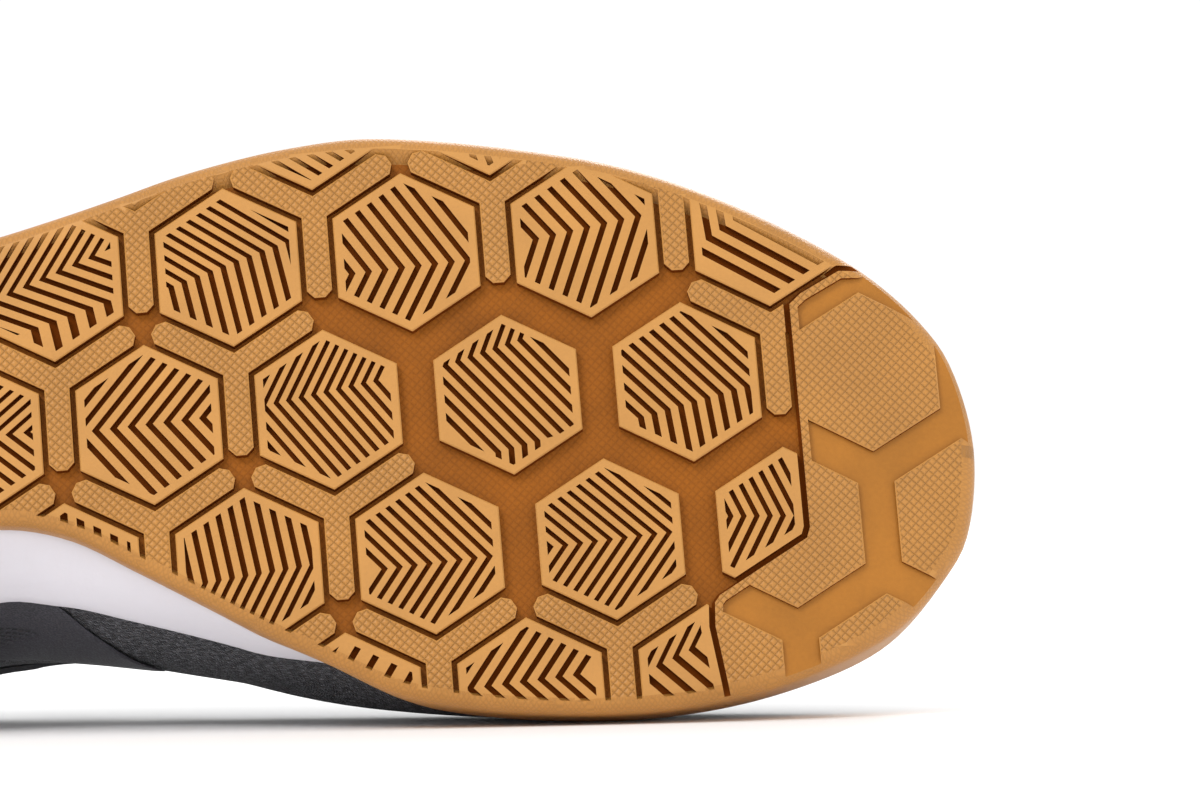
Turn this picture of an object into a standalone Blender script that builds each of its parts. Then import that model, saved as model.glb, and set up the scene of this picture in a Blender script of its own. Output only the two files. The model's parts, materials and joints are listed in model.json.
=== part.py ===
"""Indoor soccer shoe for the right foot, lying on its medial side.

The shoe is worked out standing: X runs from the heel to the toe, +Y is the medial side and Z is
up from the tread. Every piece is shaped over a flat sole and then lifted by the same heel and toe
spring, so that the small gaps between the pieces stay as they are. At the end the whole shoe is
laid down on the edge of its sole and the side of its upper.
"""
import math
from bisect import bisect_right

import bmesh
import bpy
from mathutils import Matrix, Vector

for old in list(bpy.data.objects):
    bpy.data.objects.remove(old, do_unlink=True)

# Overall sizes
LENGTH = 0.295
BALL_WIDTH = 0.109
GAP = 0.0003                # between pieces that touch

# Sole
LUG_DEPTH = 0.0020
TREAD_BASE = 0.0025         # rubber above the valleys between the lugs
EDGE_RADIUS = 0.0033        # round lower edge of the outsole
WRAP_WALL = 0.0022          # rubber wall that wraps up the side
WRAP_LEAN = 0.0015          # how far that wall leans in at its top
WRAP_BELLY_UP = 0.7         # the wall is fullest at this share of its height
WRAP_BELLY_IN = 0.4         # and has leaned in by this share there
LIP_HEIGHT = 0.0015         # rubber lip round the midsole where nothing wraps up
HEEL_STACK = 0.0240         # top of the midsole at the heel
FORE_STACK = 0.0145         # top of the midsole under the ball
ARCH_FLARE = 0.0100         # how far the midsole stands out over the arch
FOOT_INSET = 0.0030         # ledge of midsole round the foot of the upper
MIDSOLE_EDGE = 0.0012       # small chamfer along the midsole's top edge
MIDSOLE_BULGE = 0.6         # share of the flare that is reached halfway up the midsole's side
TOE_SPRING = 0.0090
SPRING_START = 0.66         # share of the length where the toe spring starts
SPRING_POWER = 2.2
HEEL_KICK = 0.0025
KICK_END = 0.10             # share of the length where the heel's kick ends
KICK_POWER = 2.0
INSOLE_THICKNESS = 0.0040

# Tread pattern
HEX_PITCH = 0.0320
HEX_FLATS = 0.0255
BAR_WIDTH = 0.0045
BAR_END_GAP = 0.0022        # from the end of a bar's arm to the next honeycomb point
BAR_CHAMFER = 0.0013
PATTERN_X = 0.2128          # centre of the lug under the ball
PATTERN_Y = -0.0043
TOE_VALLEY_DEPTH = 0.0010
TOE_GROOVE_WIDTH = 0.0011
TOE_RIM_WIDTH = 0.0014      # raised rim along the toe side of the groove
FLEX_FROM = 0.65            # the flex zone has no bars: its limits are shares of the length
FLEX_TO = 0.87
FLEX_LATERAL = -0.040       # and places of the lugs that the bars would lie beside
FLEX_MEDIAL = 0.010

# Upper
UPPER_WALL = 0.0022
BACK_HEIGHT = 0.0860        # collar at the back of the heel
COLLAR_HALF = 0.0355        # half the collar's width at its widest
WALL_SWELL = 0.0060         # how far the wall swells out over its foot
WALL_RISE = 0.0240
RIM_REACH = 0.0400          # how flat the wall arrives at the rim: outwards and down
RIM_DROP = 0.0180
FILM_THICKNESS = 0.0008
EYESTAY_THICKNESS = 0.0010
EYESTAY_GAP = 0.0005        # a little wider than GAP, because both pieces curve two ways there
EYESTAY_WIDTH = 0.0160
EYESTAY_MARGIN = 0.0010     # from the rim to the eyestay's inner edge
EYESTAY_FIRST = 0.45        # share of the way round where the eyestay starts
EYELET_DIAMETER = 0.0042
EYELET_FROM_RIM = 0.0075
EYELET_ROWS = 6
EYELET_TOE_END = 0.87       # shares of the way round of the first and last eyelets
EYELET_TOP_END = 0.50
TONGUE_THICKNESS = 0.0045
TONGUE_CLEARANCE = 0.0014   # between the tongue and the wall over it
TONGUE_UNDERLAP = 0.0110    # how far the tongue reaches under the eyestays
TONGUE_FIRST = 0.485        # share of the way round where the flap starts
TONGUE_FADE = 0.12          # the underlap grows to its full width over this share
TONGUE_LEAST = 0.12         # share of the underlap that is left under the flap
TONGUE_ARCH = 0.0025
TONGUE_FLAP = 0.0260        # length of the flap that stands above the collar
FLAP_LEAN = math.radians(30)
LACE_WIDTH = 0.0060
LACE_THICKNESS = 0.0016
LACE_LIFT = 0.0011          # how high the crossings lie over the eyestay
LACE_SLOPE = -0.3           # the throat's slope, along which each lace lies flat

# How finely the forms are divided
SIDE_STATIONS = 36
END_CROWDING = 0.4          # how much closer the stations lie at the heel and the toe
WALL_ROWS = 9
FILM_ROWS = 5
EYESTAY_ROWS = 4
EYELET_SIDES = 8
LACE_SIDES = 6
OUTLINE_STEPS = 12
BEND_STEP = 0.0110


def table(columns, *rows):
    """A table with named columns."""
    return {name: [row[k] for row in rows] for k, name in enumerate(columns.split())}


# Widest edge of the outsole: along is a share of LENGTH, the sides are shares of BALL_WIDTH.
OUTLINE = table(
    "along medial lateral",
    (0.010, 0.083, 0.133),
    (0.035, 0.179, 0.229),
    (0.080, 0.266, 0.317),
    (0.140, 0.308, 0.356),
    (0.200, 0.305, 0.360),
    (0.260, 0.252, 0.354),
    (0.310, 0.179, 0.354),
    (0.360, 0.119, 0.363),
    (0.410, 0.104, 0.379),
    (0.450, 0.131, 0.403),
    (0.490, 0.195, 0.431),
    (0.530, 0.263, 0.461),
    (0.570, 0.332, 0.483),
    (0.600, 0.377, 0.494),
    (0.640, 0.439, 0.500),
    (0.680, 0.470, 0.489),
    (0.740, 0.494, 0.459),
    (0.800, 0.500, 0.418),
    (0.860, 0.479, 0.350),
    (0.920, 0.426, 0.257),
    (0.950, 0.378, 0.196),
    (0.975, 0.308, 0.123),
    (0.990, 0.246, 0.054),
)
HEEL_TIP = -0.0275          # where the outline crosses its ends, as a share of BALL_WIDTH
TOE_TIP = 0.092

# Middle of the foot: shares of LENGTH and of BALL_WIDTH.
MIDDLE = table(
    "along side",
    (0.00, -0.0275),
    (0.10, -0.035),
    (0.20, -0.050),
    (0.30, -0.075),
    (0.40, -0.080),
    (0.50, -0.055),
    (0.60, -0.010),
    (0.66, 0.015),
    (0.80, 0.050),
    (1.00, 0.092),
)

# Sole side: stack is the way from FORE_STACK to HEEL_STACK, the flares are shares of ARCH_FLARE,
# wrap is the top of the rubber as a share of the stack there, and tuck is 1 where the midsole lies
# wholly inside the rubber.
SOLE_SIDE = table(
    "along stack flare_medial flare_lateral wrap tuck",
    (0.00, 1.00, 0.35, 0.35, 0.00, 0.0),
    (0.12, 1.00, 0.58, 0.42, 0.00, 0.0),
    (0.20, 1.00, 0.62, 0.45, 0.00, 0.0),
    (0.30, 0.94, 0.90, 0.52, 0.00, 0.0),
    (0.36, 0.82, 1.00, 0.62, 0.00, 0.0),
    (0.41, 0.65, 1.00, 0.72, 0.00, 0.0),
    (0.45, 0.50, 0.97, 0.65, 0.00, 0.0),
    (0.49, 0.36, 0.68, 0.50, 0.00, 0.0),
    (0.53, 0.24, 0.37, 0.33, 0.30, 0.0),
    (0.56, 0.15, 0.16, 0.20, 0.32, 0.0),
    (0.59, 0.08, 0.05, 0.07, 0.44, 0.5),
    (0.62, 0.04, 0.00, 0.00, 0.65, 1.0),
    (0.64, 0.02, 0.00, 0.00, 0.85, 1.0),
    (0.66, 0.01, 0.00, 0.00, 1.04, 1.0),
    (0.70, 0.00, 0.00, 0.00, 1.12, 1.0),
    (0.85, 0.00, 0.00, 0.00, 1.18, 1.0),
    (0.94, 0.00, 0.00, 0.00, 1.40, 1.0),
    (1.00, 0.00, 0.00, 0.00, 1.60, 1.0),
)

# Ribs of the upper, from its foot to its rim. foot is the share of the way round one side from the
# heel to the toe; rim_along is a share of LENGTH, rim_half of COLLAR_HALF and rim_up of BACK_HEIGHT;
# swell, rise, reach and drop are shares of WALL_SWELL, WALL_RISE, RIM_REACH and RIM_DROP.
RIBS = table(
    "foot rim_along rim_half rim_up swell rise reach drop",
    (0.00, 0.034, 0.00, 1.000, 0.60, 1.00, 0.00, 1.00),
    (0.07, 0.042, 0.45, 0.985, 0.50, 1.00, 0.00, 1.00),
    (0.14, 0.072, 0.76, 0.900, 0.00, 0.65, 0.00, 0.90),
    (0.22, 0.145, 0.93, 0.790, -0.10, 0.45, 0.02, 0.75),
    (0.30, 0.225, 1.00, 0.755, 0.10, 0.45, 0.03, 0.70),
    (0.38, 0.305, 0.95, 0.830, 0.90, 0.75, 0.06, 0.80),
    (0.45, 0.365, 0.76, 0.970, 1.20, 0.90, 0.20, 0.80),
    (0.52, 0.420, 0.56, 0.975, 1.00, 1.00, 0.35, 0.50),
    (0.60, 0.480, 0.51, 0.915, 0.70, 1.00, 0.42, 0.38),
    (0.68, 0.540, 0.47, 0.845, 0.35, 1.00, 0.50, 0.35),
    (0.76, 0.595, 0.42, 0.785, 0.25, 1.05, 0.60, 0.30),
    (0.85, 0.640, 0.32, 0.740, 0.35, 1.10, 0.80, 0.35),
    (0.93, 0.658, 0.17, 0.725, 0.40, 1.15, 1.00, 0.50),
    (1.00, 0.663, 0.00, 0.720, 0.35, 1.20, 1.10, 0.55),
)

# The film's upper edge: share of the rib's height at each share of the way round.
FILM_TOP = table(
    "foot height",
    (0.00, 0.62),
    (0.15, 0.55),
    (0.30, 0.50),
    (0.45, 0.36),
    (0.56, 0.12),
)
FILM_BOTTOM = 0.05

# Tongue: points across its section, from the lateral edge to the medial edge, and the flap's rows.
UNDERLAP_SHARES = (1.0, 0.5)
ACROSS_SHARES = (-1, -0.6, -0.2, 0.2, 0.6, 1)
FLAP = table(
    "up width",
    (0.35, 0.97),
    (0.70, 0.92),
    (1.00, 0.80),
)

# Path of a lace over the throat: across is 1 on the rim that it leaves, -1 on the other one.
LACE_PATH = table(
    "share across",
    (0.20, 1.0),
    (0.35, 0.5),
    (0.50, 0.0),
    (0.65, -0.5),
    (0.80, -1.0),
)

# Groove that parts the toe zone from the lugs: shares of LENGTH and BALL_WIDTH.
TOE_GROOVE = table(
    "along side",
    (0.965, -0.240),
    (0.938, -0.217),
    (0.927, -0.217),
    (0.902, -0.181),
    (0.894, -0.162),
    (0.894, 0.216),
    (0.892, 0.231),
    (0.837, 0.317),
    (0.833, 0.331),
    (0.832, 0.372),
    (0.841, 0.560),
)

# Looks of the solids: colour, roughness, and kilograms per cubic metre
FINISHES = {
    "gum_rubber": ((0.62, 0.32, 0.10), 0.55, 1100),
    "midsole_foam": ((0.72, 0.70, 0.76), 0.60, 220),
    "knit": ((0.050, 0.047, 0.060), 0.90, 600),
    "film": ((0.045, 0.043, 0.055), 0.45, 1000),
    "lining": ((0.060, 0.058, 0.070), 0.95, 250),
    "insole_foam": ((0.080, 0.078, 0.090), 0.90, 200),
    "lace": ((0.035, 0.034, 0.042), 0.85, 700),
}


def smooth_value(data, key, column, at):
    """The value of a column at a place between its rows, flat past the ends."""
    keys = data[key]
    values = data[column]
    if at <= keys[0]:
        return values[0]
    if at >= keys[-1]:
        return values[-1]
    k = bisect_right(keys, at) - 1
    span = keys[k + 1] - keys[k]
    share = (at - keys[k]) / span

    def slope(row):
        before = max(row - 1, 0)
        after = min(row + 1, len(keys) - 1)
        return (values[after] - values[before]) / (keys[after] - keys[before]) * span

    rise = values[k + 1] - values[k]
    bend = (slope(k) + slope(k + 1) - 2 * rise) * share
    return values[k] + share * (slope(k) + share * (3 * rise - 2 * slope(k) - slope(k + 1)) + share * bend)


def clamp(value, low=0.0, high=1.0):
    return max(low, min(high, value))


def blend(start, end, share):
    return start + (end - start) * share


def spring(x):
    """Height that the heel's kick and the toe spring add to a flat sole."""
    toe = clamp((x / LENGTH - SPRING_START) / (1 - SPRING_START), 0, 2)
    heel = clamp((KICK_END - x / LENGTH) / KICK_END, 0, 2)
    return TOE_SPRING * toe ** SPRING_POWER + HEEL_KICK * heel ** KICK_POWER


def outline_side(column, sign):
    """Points of one side of the outline with their way from the heel, as shares of the whole side."""
    knots = [Vector((0, HEEL_TIP * BALL_WIDTH))]
    knots += [Vector((along * LENGTH, sign * side * BALL_WIDTH))
              for along, side in zip(OUTLINE["along"], OUTLINE[column])]
    knots.append(Vector((LENGTH, TOE_TIP * BALL_WIDTH)))
    other = {"medial": "lateral", "lateral": "medial"}[column]
    before = Vector((knots[1].x, -sign * OUTLINE[other][0] * BALL_WIDTH))
    after = Vector((knots[-2].x, -sign * OUTLINE[other][-1] * BALL_WIDTH))
    knots = [before] + knots + [after]
    points = []
    for a, b, c, d in zip(knots, knots[1:], knots[2:], knots[3:]):
        ta = 0.0
        tb = ta + math.sqrt((b - a).length)
        tc = tb + math.sqrt((c - b).length)
        td = tc + math.sqrt((d - c).length)
        for step in range(OUTLINE_STEPS):
            t = blend(tb, tc, step / OUTLINE_STEPS)
            ab = a.lerp(b, (t - ta) / (tb - ta))
            bc = b.lerp(c, (t - tb) / (tc - tb))
            cd = c.lerp(d, (t - tc) / (td - tc))
            abc = ab.lerp(bc, (t - ta) / (tc - ta))
            bcd = bc.lerp(cd, (t - tb) / (td - tb))
            points.append(abc.lerp(bcd, (t - tb) / (tc - tb)))
    points.append(knots[-2])
    ways = [0.0]
    for a, b in zip(points, points[1:]):
        ways.append(ways[-1] + (b - a).length)
    return points, [way / ways[-1] for way in ways]


SIDES = {1: outline_side("medial", 1), -1: outline_side("lateral", -1)}
NORMAL_STEP = 0.006


def outline_point(u):
    """A point on the outline: u runs from -1 round the lateral side, 0 at the heel, to 1 at the toe."""
    while u > 1:
        u -= 2
    while u < -1:
        u += 2
    points, ways = SIDES[1 if u >= 0 else -1]
    s = abs(u)
    k = min(bisect_right(ways, s), len(ways) - 1)
    return points[k - 1].lerp(points[k], (s - ways[k - 1]) / (ways[k] - ways[k - 1]))


def outward(u):
    """The level direction that leads straight out of the outline."""
    along = outline_point(u + NORMAL_STEP) - outline_point(u - NORMAL_STEP)
    # Heel to toe along the medial side is clockwise from above, so outwards is to the left.
    return Vector((-along.y, along.x)).normalized()


def place(u, offset, height):
    """A point beside the outline, still over a flat sole."""
    flat = outline_point(u) + outward(u) * offset
    return Vector((flat.x, flat.y, height))


def side_value(column, u):
    """A column of the sole's side at a station; the flares have one column for each side."""
    x = outline_point(u).x / LENGTH
    if column == "flare":
        # At the heel and the toe both columns hold the same value.
        column = "flare_medial" if u >= 0 else "flare_lateral"
    return smooth_value(SOLE_SIDE, "along", column, x)


def stack(u):
    """Top of the midsole."""
    return FORE_STACK + (HEEL_STACK - FORE_STACK) * side_value("stack", u)


def cup_floor():
    return LUG_DEPTH + TREAD_BASE


def wrap_top(u):
    """Top of the rubber side wall, or of the lip where nothing wraps up."""
    return max(side_value("wrap", u) * stack(u), cup_floor() + LIP_HEIGHT)


def tuck(u):
    """1 where the midsole lies wholly inside the rubber, 0 where it stands out over it."""
    return clamp(side_value("tuck", u))


def cup_offset(u):
    """Inner face of the rubber wall, measured from the outline."""
    return -WRAP_WALL - WRAP_LEAN * tuck(u)


def midsole_edge(u):
    """Top edge of the midsole, measured from the outline."""
    return blend(ARCH_FLARE * side_value("flare", u), cup_offset(u) - GAP, tuck(u))


def foot_offset(u):
    """Outer face of the upper at its foot, measured from the outline."""
    return midsole_edge(u) - FOOT_INSET * (1 - tuck(u))


def rim_point(u):
    """A point of the upper's rim round the collar and the throat."""
    s = abs(u)
    along = smooth_value(RIBS, "foot", "rim_along", s)
    middle = smooth_value(MIDDLE, "along", "side", along) * BALL_WIDTH
    half = COLLAR_HALF * smooth_value(RIBS, "foot", "rim_half", s)
    height = BACK_HEIGHT * smooth_value(RIBS, "foot", "rim_up", s)
    return Vector((along * LENGTH, middle + math.copysign(half, u), height))


def upper_point(u, v):
    """The outer surface of the upper: v is 0 at the foot and 1 at the rim."""
    while u > 1:
        u -= 2
    while u < -1:
        u += 2
    s = abs(u)
    out = outward(u).to_3d()
    foot = place(u, foot_offset(u), stack(u) + GAP)
    rim = rim_point(u)
    swell = WALL_SWELL * smooth_value(RIBS, "foot", "swell", s)
    rise = WALL_RISE * smooth_value(RIBS, "foot", "rise", s)
    reach = RIM_REACH * smooth_value(RIBS, "foot", "reach", s)
    drop = RIM_DROP * smooth_value(RIBS, "foot", "drop", s)
    low = foot + out * swell + Vector((0, 0, rise))
    high = rim + out * reach - Vector((0, 0, drop))
    w = 1 - v
    return w ** 3 * foot + 3 * w * w * v * low + 3 * w * v * v * high + v ** 3 * rim


def upper_normal(u, v):
    """The direction that leads straight out of the upper's surface."""
    step_v = 0.01
    across = upper_point(u + NORMAL_STEP, v) - upper_point(u - NORMAL_STEP, v)
    upward = upper_point(u, min(v + step_v, 1)) - upper_point(u, max(v - step_v, 0))
    return upward.cross(across).normalized()


def off_upper(u, v, distance):
    return upper_point(u, v) + upper_normal(u, v) * distance


def from_rim(u, distance):
    """The v of a point that lies so far from the rim along its rib."""
    step = 0.01
    v = 1.0
    way = 0.0
    while way < distance and v > step:
        way += (upper_point(u, v) - upper_point(u, v - step)).length
        v -= step
    return v


def at_height(u, height):
    """The v of a point at that height, on the lower half of its rib."""
    low, high = 0.0, 0.5
    for _ in range(20):
        middle = (low + high) / 2
        if upper_point(u, middle).z < height:
            low = middle
        else:
            high = middle
    return low


def side_stations():
    """Shares of the way along one side, closer together at the heel and the toe."""
    shares = [k / SIDE_STATIONS for k in range(SIDE_STATIONS + 1)]
    return [blend(s, (1 - math.cos(math.pi * s)) / 2, END_CROWDING) for s in shares]


STATIONS = side_stations() + [-s for s in reversed(side_stations()[1:-1])]


def material(finish):
    colour, roughness, _ = FINISHES[finish]
    made = bpy.data.materials.new(finish)
    made.use_nodes = True
    shader = made.node_tree.nodes["Principled BSDF"]
    shader.inputs["Base Color"].default_value = (*colour, 1)
    shader.inputs["Roughness"].default_value = roughness
    shader.inputs["Metallic"].default_value = 0.0
    return made


def make_object(name, bm, finish=None):
    """An object from a bmesh whose faces are made to point out."""
    bmesh.ops.remove_doubles(bm, verts=bm.verts, dist=1e-6)
    bmesh.ops.recalc_face_normals(bm, faces=bm.faces)
    mesh = bpy.data.meshes.new(name)
    bm.to_mesh(mesh)
    bm.free()
    made = bpy.data.objects.new(name, mesh)
    bpy.context.scene.collection.objects.link(made)
    if finish:
        made["finish"] = finish
        mesh.materials.append(material(finish))
    else:
        made.hide_render = True
        made.display_type = "WIRE"
    return made


def lift(bm):
    """Give a piece that was shaped over a flat sole the heel's kick and the toe spring."""
    for vert in bm.verts:
        vert.co.z += spring(vert.co.x)


def skin_loops(bm, loops):
    """Skin closed loops of points, each with the next, and return their vertices."""
    rings = [[bm.verts.new(point) for point in loop] for loop in loops]
    for lower, upper in zip(rings, rings[1:]):
        for k in range(len(lower)):
            n = (k + 1) % len(lower)
            bm.faces.new((lower[k], lower[n], upper[n], upper[k]))
    return rings


def ladder(bm, ring):
    """Close a loop with rungs from side to side, so that the cover can follow the spring."""
    count = len(ring)
    for k in range(count // 2):
        a, b = ring[k], ring[k + 1]
        c, d = ring[-k - 1], ring[-k % count]
        corners = [a, b, c, d]
        if k == 0:
            corners = [a, b, c]
        if k == count // 2 - 1:
            corners = [a, b, d]
        bm.faces.new(corners)


def bend_lines(bm):
    """Cut a flat-sided piece across wherever the spring will bend it."""
    lines = []
    x = SPRING_START * LENGTH
    while x < LENGTH:
        lines.append(x)
        x += BEND_STEP
    x = KICK_END * LENGTH
    while x > 0:
        lines.append(x)
        x -= BEND_STEP
    for x in lines:
        bmesh.ops.bisect_plane(
            bm, geom=bm.verts[:] + bm.edges[:] + bm.faces[:], dist=1e-6,
            plane_co=(x, 0, 0), plane_no=(1, 0, 0))


def prism(bm, corners, low, high):
    """A closed prism over a flat outline."""
    rings = skin_loops(bm, [[(x, y, z) for x, y in corners] for z in (low, high)])
    bm.faces.new(rings[0][::-1])
    bm.faces.new(rings[1])


def boolean(target, cutter, operation):
    """Apply a Boolean to a mesh and keep the cutter as a hidden guide."""
    modifier = target.modifiers.new(cutter.name, "BOOLEAN")
    modifier.operation = operation
    modifier.solver = "EXACT"
    modifier.object = cutter
    graph = bpy.context.evaluated_depsgraph_get()
    result = bpy.data.meshes.new_from_object(target.evaluated_get(graph))
    target.modifiers.remove(modifier)
    before = target.data
    target.data = result
    bpy.data.meshes.remove(before)


def hex_corners(x, y):
    radius = HEX_FLATS / math.sqrt(3)
    turns = [math.radians(90 + 60 * k) for k in range(6)]
    return [(x + radius * math.cos(a), y + radius * math.sin(a)) for a in turns]


def bar_corners(x, y):
    """A three-armed bar: arms towards the lateral heel and toe, and straight to the medial side."""
    half = BAR_WIDTH / 2
    reach = HEX_PITCH / math.sqrt(3) - BAR_END_GAP
    inner = half / math.cos(math.radians(30))
    corners = []
    for turn in (90, 210, 330):
        a = math.radians(turn)
        ahead = Vector((math.cos(a), math.sin(a)))
        aside = Vector((-ahead.y, ahead.x))
        start = Vector((x, y))
        corners.append(start + ahead * (reach - BAR_CHAMFER) - aside * half)
        corners.append(start + ahead * reach - aside * (half - BAR_CHAMFER))
        corners.append(start + ahead * reach + aside * (half - BAR_CHAMFER))
        corners.append(start + ahead * (reach - BAR_CHAMFER) + aside * half)
        fork = math.radians(turn + 60)
        corners.append(start + inner * Vector((math.cos(fork), math.sin(fork))))
    return [(corner.x, corner.y) for corner in corners]


def lattice():
    """Centres of the six-sided lugs over the whole sole."""
    row_step = HEX_PITCH * math.cos(math.radians(30))
    rows = int(BALL_WIDTH / row_step) + 1
    columns = int(LENGTH / HEX_PITCH) + 2
    centres = []
    for row in range(-rows, rows + 1):
        shift = 0.5 * (row % 2)
        for column in range(-columns, columns + 1):
            x = PATTERN_X + (column + shift) * HEX_PITCH
            y = PATTERN_Y + row * row_step
            if -HEX_PITCH < x < LENGTH + HEX_PITCH and abs(y) < BALL_WIDTH / 2 + HEX_PITCH:
                centres.append((x, y))
    return centres


def groove_path(aside):
    """The toe groove's middle line, moved square to itself towards the toe."""
    knots = [Vector((along * LENGTH, side * BALL_WIDTH))
             for along, side in zip(TOE_GROOVE["along"], TOE_GROOVE["side"])]
    moved = []
    for k, knot in enumerate(knots):
        before = knots[max(k - 1, 0)]
        after = knots[min(k + 1, len(knots) - 1)]
        into = (knot - before).normalized() if k else (after - knot).normalized()
        out = (after - knot).normalized() if k < len(knots) - 1 else into
        square_in, square_out = Vector((into.y, -into.x)), Vector((out.y, -out.x))
        mitre = (square_in + square_out).normalized()
        spot = knot + mitre * aside / mitre.dot(square_in)
        moved.append((spot.x, spot.y))
    return moved


def make_outsole():
    """Rubber cup whose tread is cut into lugs and bars."""
    round_in = EDGE_RADIUS * (1 - math.sin(math.radians(45)))
    levels = []
    levels.append([place(u, -EDGE_RADIUS, 0) for u in STATIONS])
    levels.append([place(u, -round_in, round_in) for u in STATIONS])
    levels.append([place(u, 0, EDGE_RADIUS) for u in STATIONS])
    outer_top, inner_top, inner_mid, floor_edge, outer_mid = [], [], [], [], []
    for u in STATIONS:
        top = wrap_top(u)
        cup = cup_offset(u)
        wrapped = tuck(u)
        lip_in = place(u, cup, top)
        lip_out = place(u, 0, top)
        v = at_height(u, top)
        hug_in = upper_point(u, v) + outward(u).to_3d() * GAP
        hug_out = hug_in + outward(u).to_3d() * WRAP_WALL
        over = wrapped if top > stack(u) else 0.0
        inside = lip_in.lerp(hug_in, over)
        outside = lip_out.lerp(place(u, -WRAP_LEAN, top), wrapped).lerp(hug_out, over)
        inside.z = outside.z = top
        inner_top.append(inside)
        outer_top.append(outside)
        middle_height = blend(EDGE_RADIUS, min(top, stack(u)), WRAP_BELLY_UP)
        outer_mid.append(place(u, -WRAP_BELLY_IN * WRAP_LEAN * wrapped, middle_height))
        level = min(top - LIP_HEIGHT / 2, stack(u))
        inner_mid.append(place(u, cup, level))
        floor_edge.append(place(u, cup, cup_floor()))
    bm = bmesh.new()
    rings = skin_loops(bm, levels + [outer_mid, outer_top, inner_top, inner_mid, floor_edge])
    bm.faces.new(rings[0][::-1])
    ladder(bm, rings[-1])
    bend_lines(bm)
    outsole = make_object("outsole", bm, "gum_rubber")

    lugs = bmesh.new()
    for x, y in lattice():
        prism(lugs, hex_corners(x, y), -LUG_DEPTH, 2 * LUG_DEPTH)
        bar_y = y + HEX_PITCH / math.sqrt(3)
        in_flex = FLEX_FROM < x / LENGTH < FLEX_TO and FLEX_LATERAL < y < FLEX_MEDIAL
        groove_x = LENGTH * smooth_value(TOE_GROOVE, "side", "along", bar_y / BALL_WIDTH)
        if not in_flex and x < groove_x:
            prism(lugs, bar_corners(x, bar_y), -LUG_DEPTH, 2 * LUG_DEPTH)
    lug_guide = make_object("lug_guide", lugs)

    back = [(-LENGTH, -LENGTH)] + groove_path(0) + [(-LENGTH, LENGTH)]
    front = groove_path(TOE_RIM_WIDTH + TOE_GROOVE_WIDTH / 2)[::-1]
    front += [(2 * LENGTH, -LENGTH), (2 * LENGTH, LENGTH)]
    groove = groove_path(-TOE_GROOVE_WIDTH / 2) + groove_path(TOE_GROOVE_WIDTH / 2)[::-1]
    for name, corners, depth, keeps_lugs in (
            ("valley_cutter", back, LUG_DEPTH, True),
            ("toe_valley_cutter", front, TOE_VALLEY_DEPTH, True),
            ("toe_groove_cutter", groove, LUG_DEPTH, False)):
        bm = bmesh.new()
        prism(bm, corners, -LUG_DEPTH / 2, depth)
        bend_lines(bm)
        cutter = make_object(name, bm)
        if keeps_lugs:
            boolean(cutter, lug_guide, "DIFFERENCE")
        boolean(outsole, cutter, "DIFFERENCE")
    lifted = bmesh.new()
    lifted.from_mesh(outsole.data)
    lift(lifted)
    lifted.to_mesh(outsole.data)
    lifted.free()
    return outsole


def make_midsole():
    """Foam that sits in the rubber cup and flares out over the arch."""
    levels = [[] for _ in range(6)]
    for u in STATIONS:
        inside = cup_offset(u) - GAP
        top = stack(u)
        edge = midsole_edge(u)
        ledge = blend(0.0, inside, tuck(u))
        step = min(wrap_top(u) + GAP, top - 2 * MIDSOLE_EDGE)
        shoulder = top - MIDSOLE_EDGE
        levels[0].append(place(u, inside, cup_floor() + GAP))
        levels[1].append(place(u, inside, step))
        levels[2].append(place(u, ledge, step))
        levels[3].append(place(u, blend(ledge, edge, MIDSOLE_BULGE), (step + shoulder) / 2))
        levels[4].append(place(u, edge, shoulder))
        levels[5].append(place(u, edge - MIDSOLE_EDGE / 2, top))
    bm = bmesh.new()
    rings = skin_loops(bm, levels)
    ladder(bm, rings[0])
    ladder(bm, rings[-1])
    lift(bm)
    return make_object("midsole", bm, "midsole_foam")


def make_insole():
    """Loose sock on top of the midsole, inside the foot of the upper."""
    bm = bmesh.new()
    offsets = [foot_offset(u) - UPPER_WALL - 3 * GAP for u in STATIONS]
    low = [place(u, off, stack(u) + GAP) for u, off in zip(STATIONS, offsets)]
    high = [point + Vector((0, 0, INSOLE_THICKNESS)) for point in low]
    rings = skin_loops(bm, [low, high])
    ladder(bm, rings[0])
    ladder(bm, rings[-1])
    lift(bm)
    return make_object("insole", bm, "insole_foam")


def shell(name, finish, stations, rows, point_at, thickness, closed=False):
    """A wall of even thickness under a grid of points, with its outer face on the points."""
    bm = bmesh.new()
    grid = [[bm.verts.new(point_at(u, row)) for row in range(rows + 1)] for u in stations]
    count = len(grid)
    for k in range(count if closed else count - 1):
        here, there = grid[k], grid[(k + 1) % count]
        for row in range(rows):
            bm.faces.new((here[row], here[row + 1], there[row + 1], there[row]))
    lift(bm)
    made = make_object(name, bm, finish)
    aim_out(made)
    wall = made.modifiers.new("wall", "SOLIDIFY")
    wall.thickness = thickness
    wall.offset = -1
    wall.use_even_offset = False
    return made


def aim_out(made):
    """Turn an open sheet so that its faces look away from the inside of the shoe."""
    inside = Vector((LENGTH / 2, 0, FORE_STACK))
    score = 0.0
    for face in made.data.polygons:
        score += face.normal.dot(face.center - inside) * face.area
    if score < 0:
        made.data.flip_normals()


def make_upper():
    """Knitted shell, open at the collar and throat and underneath."""
    return shell("upper", "knit", STATIONS, WALL_ROWS,
                 lambda u, row: upper_point(u, row / WALL_ROWS), UPPER_WALL, closed=True)


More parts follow.
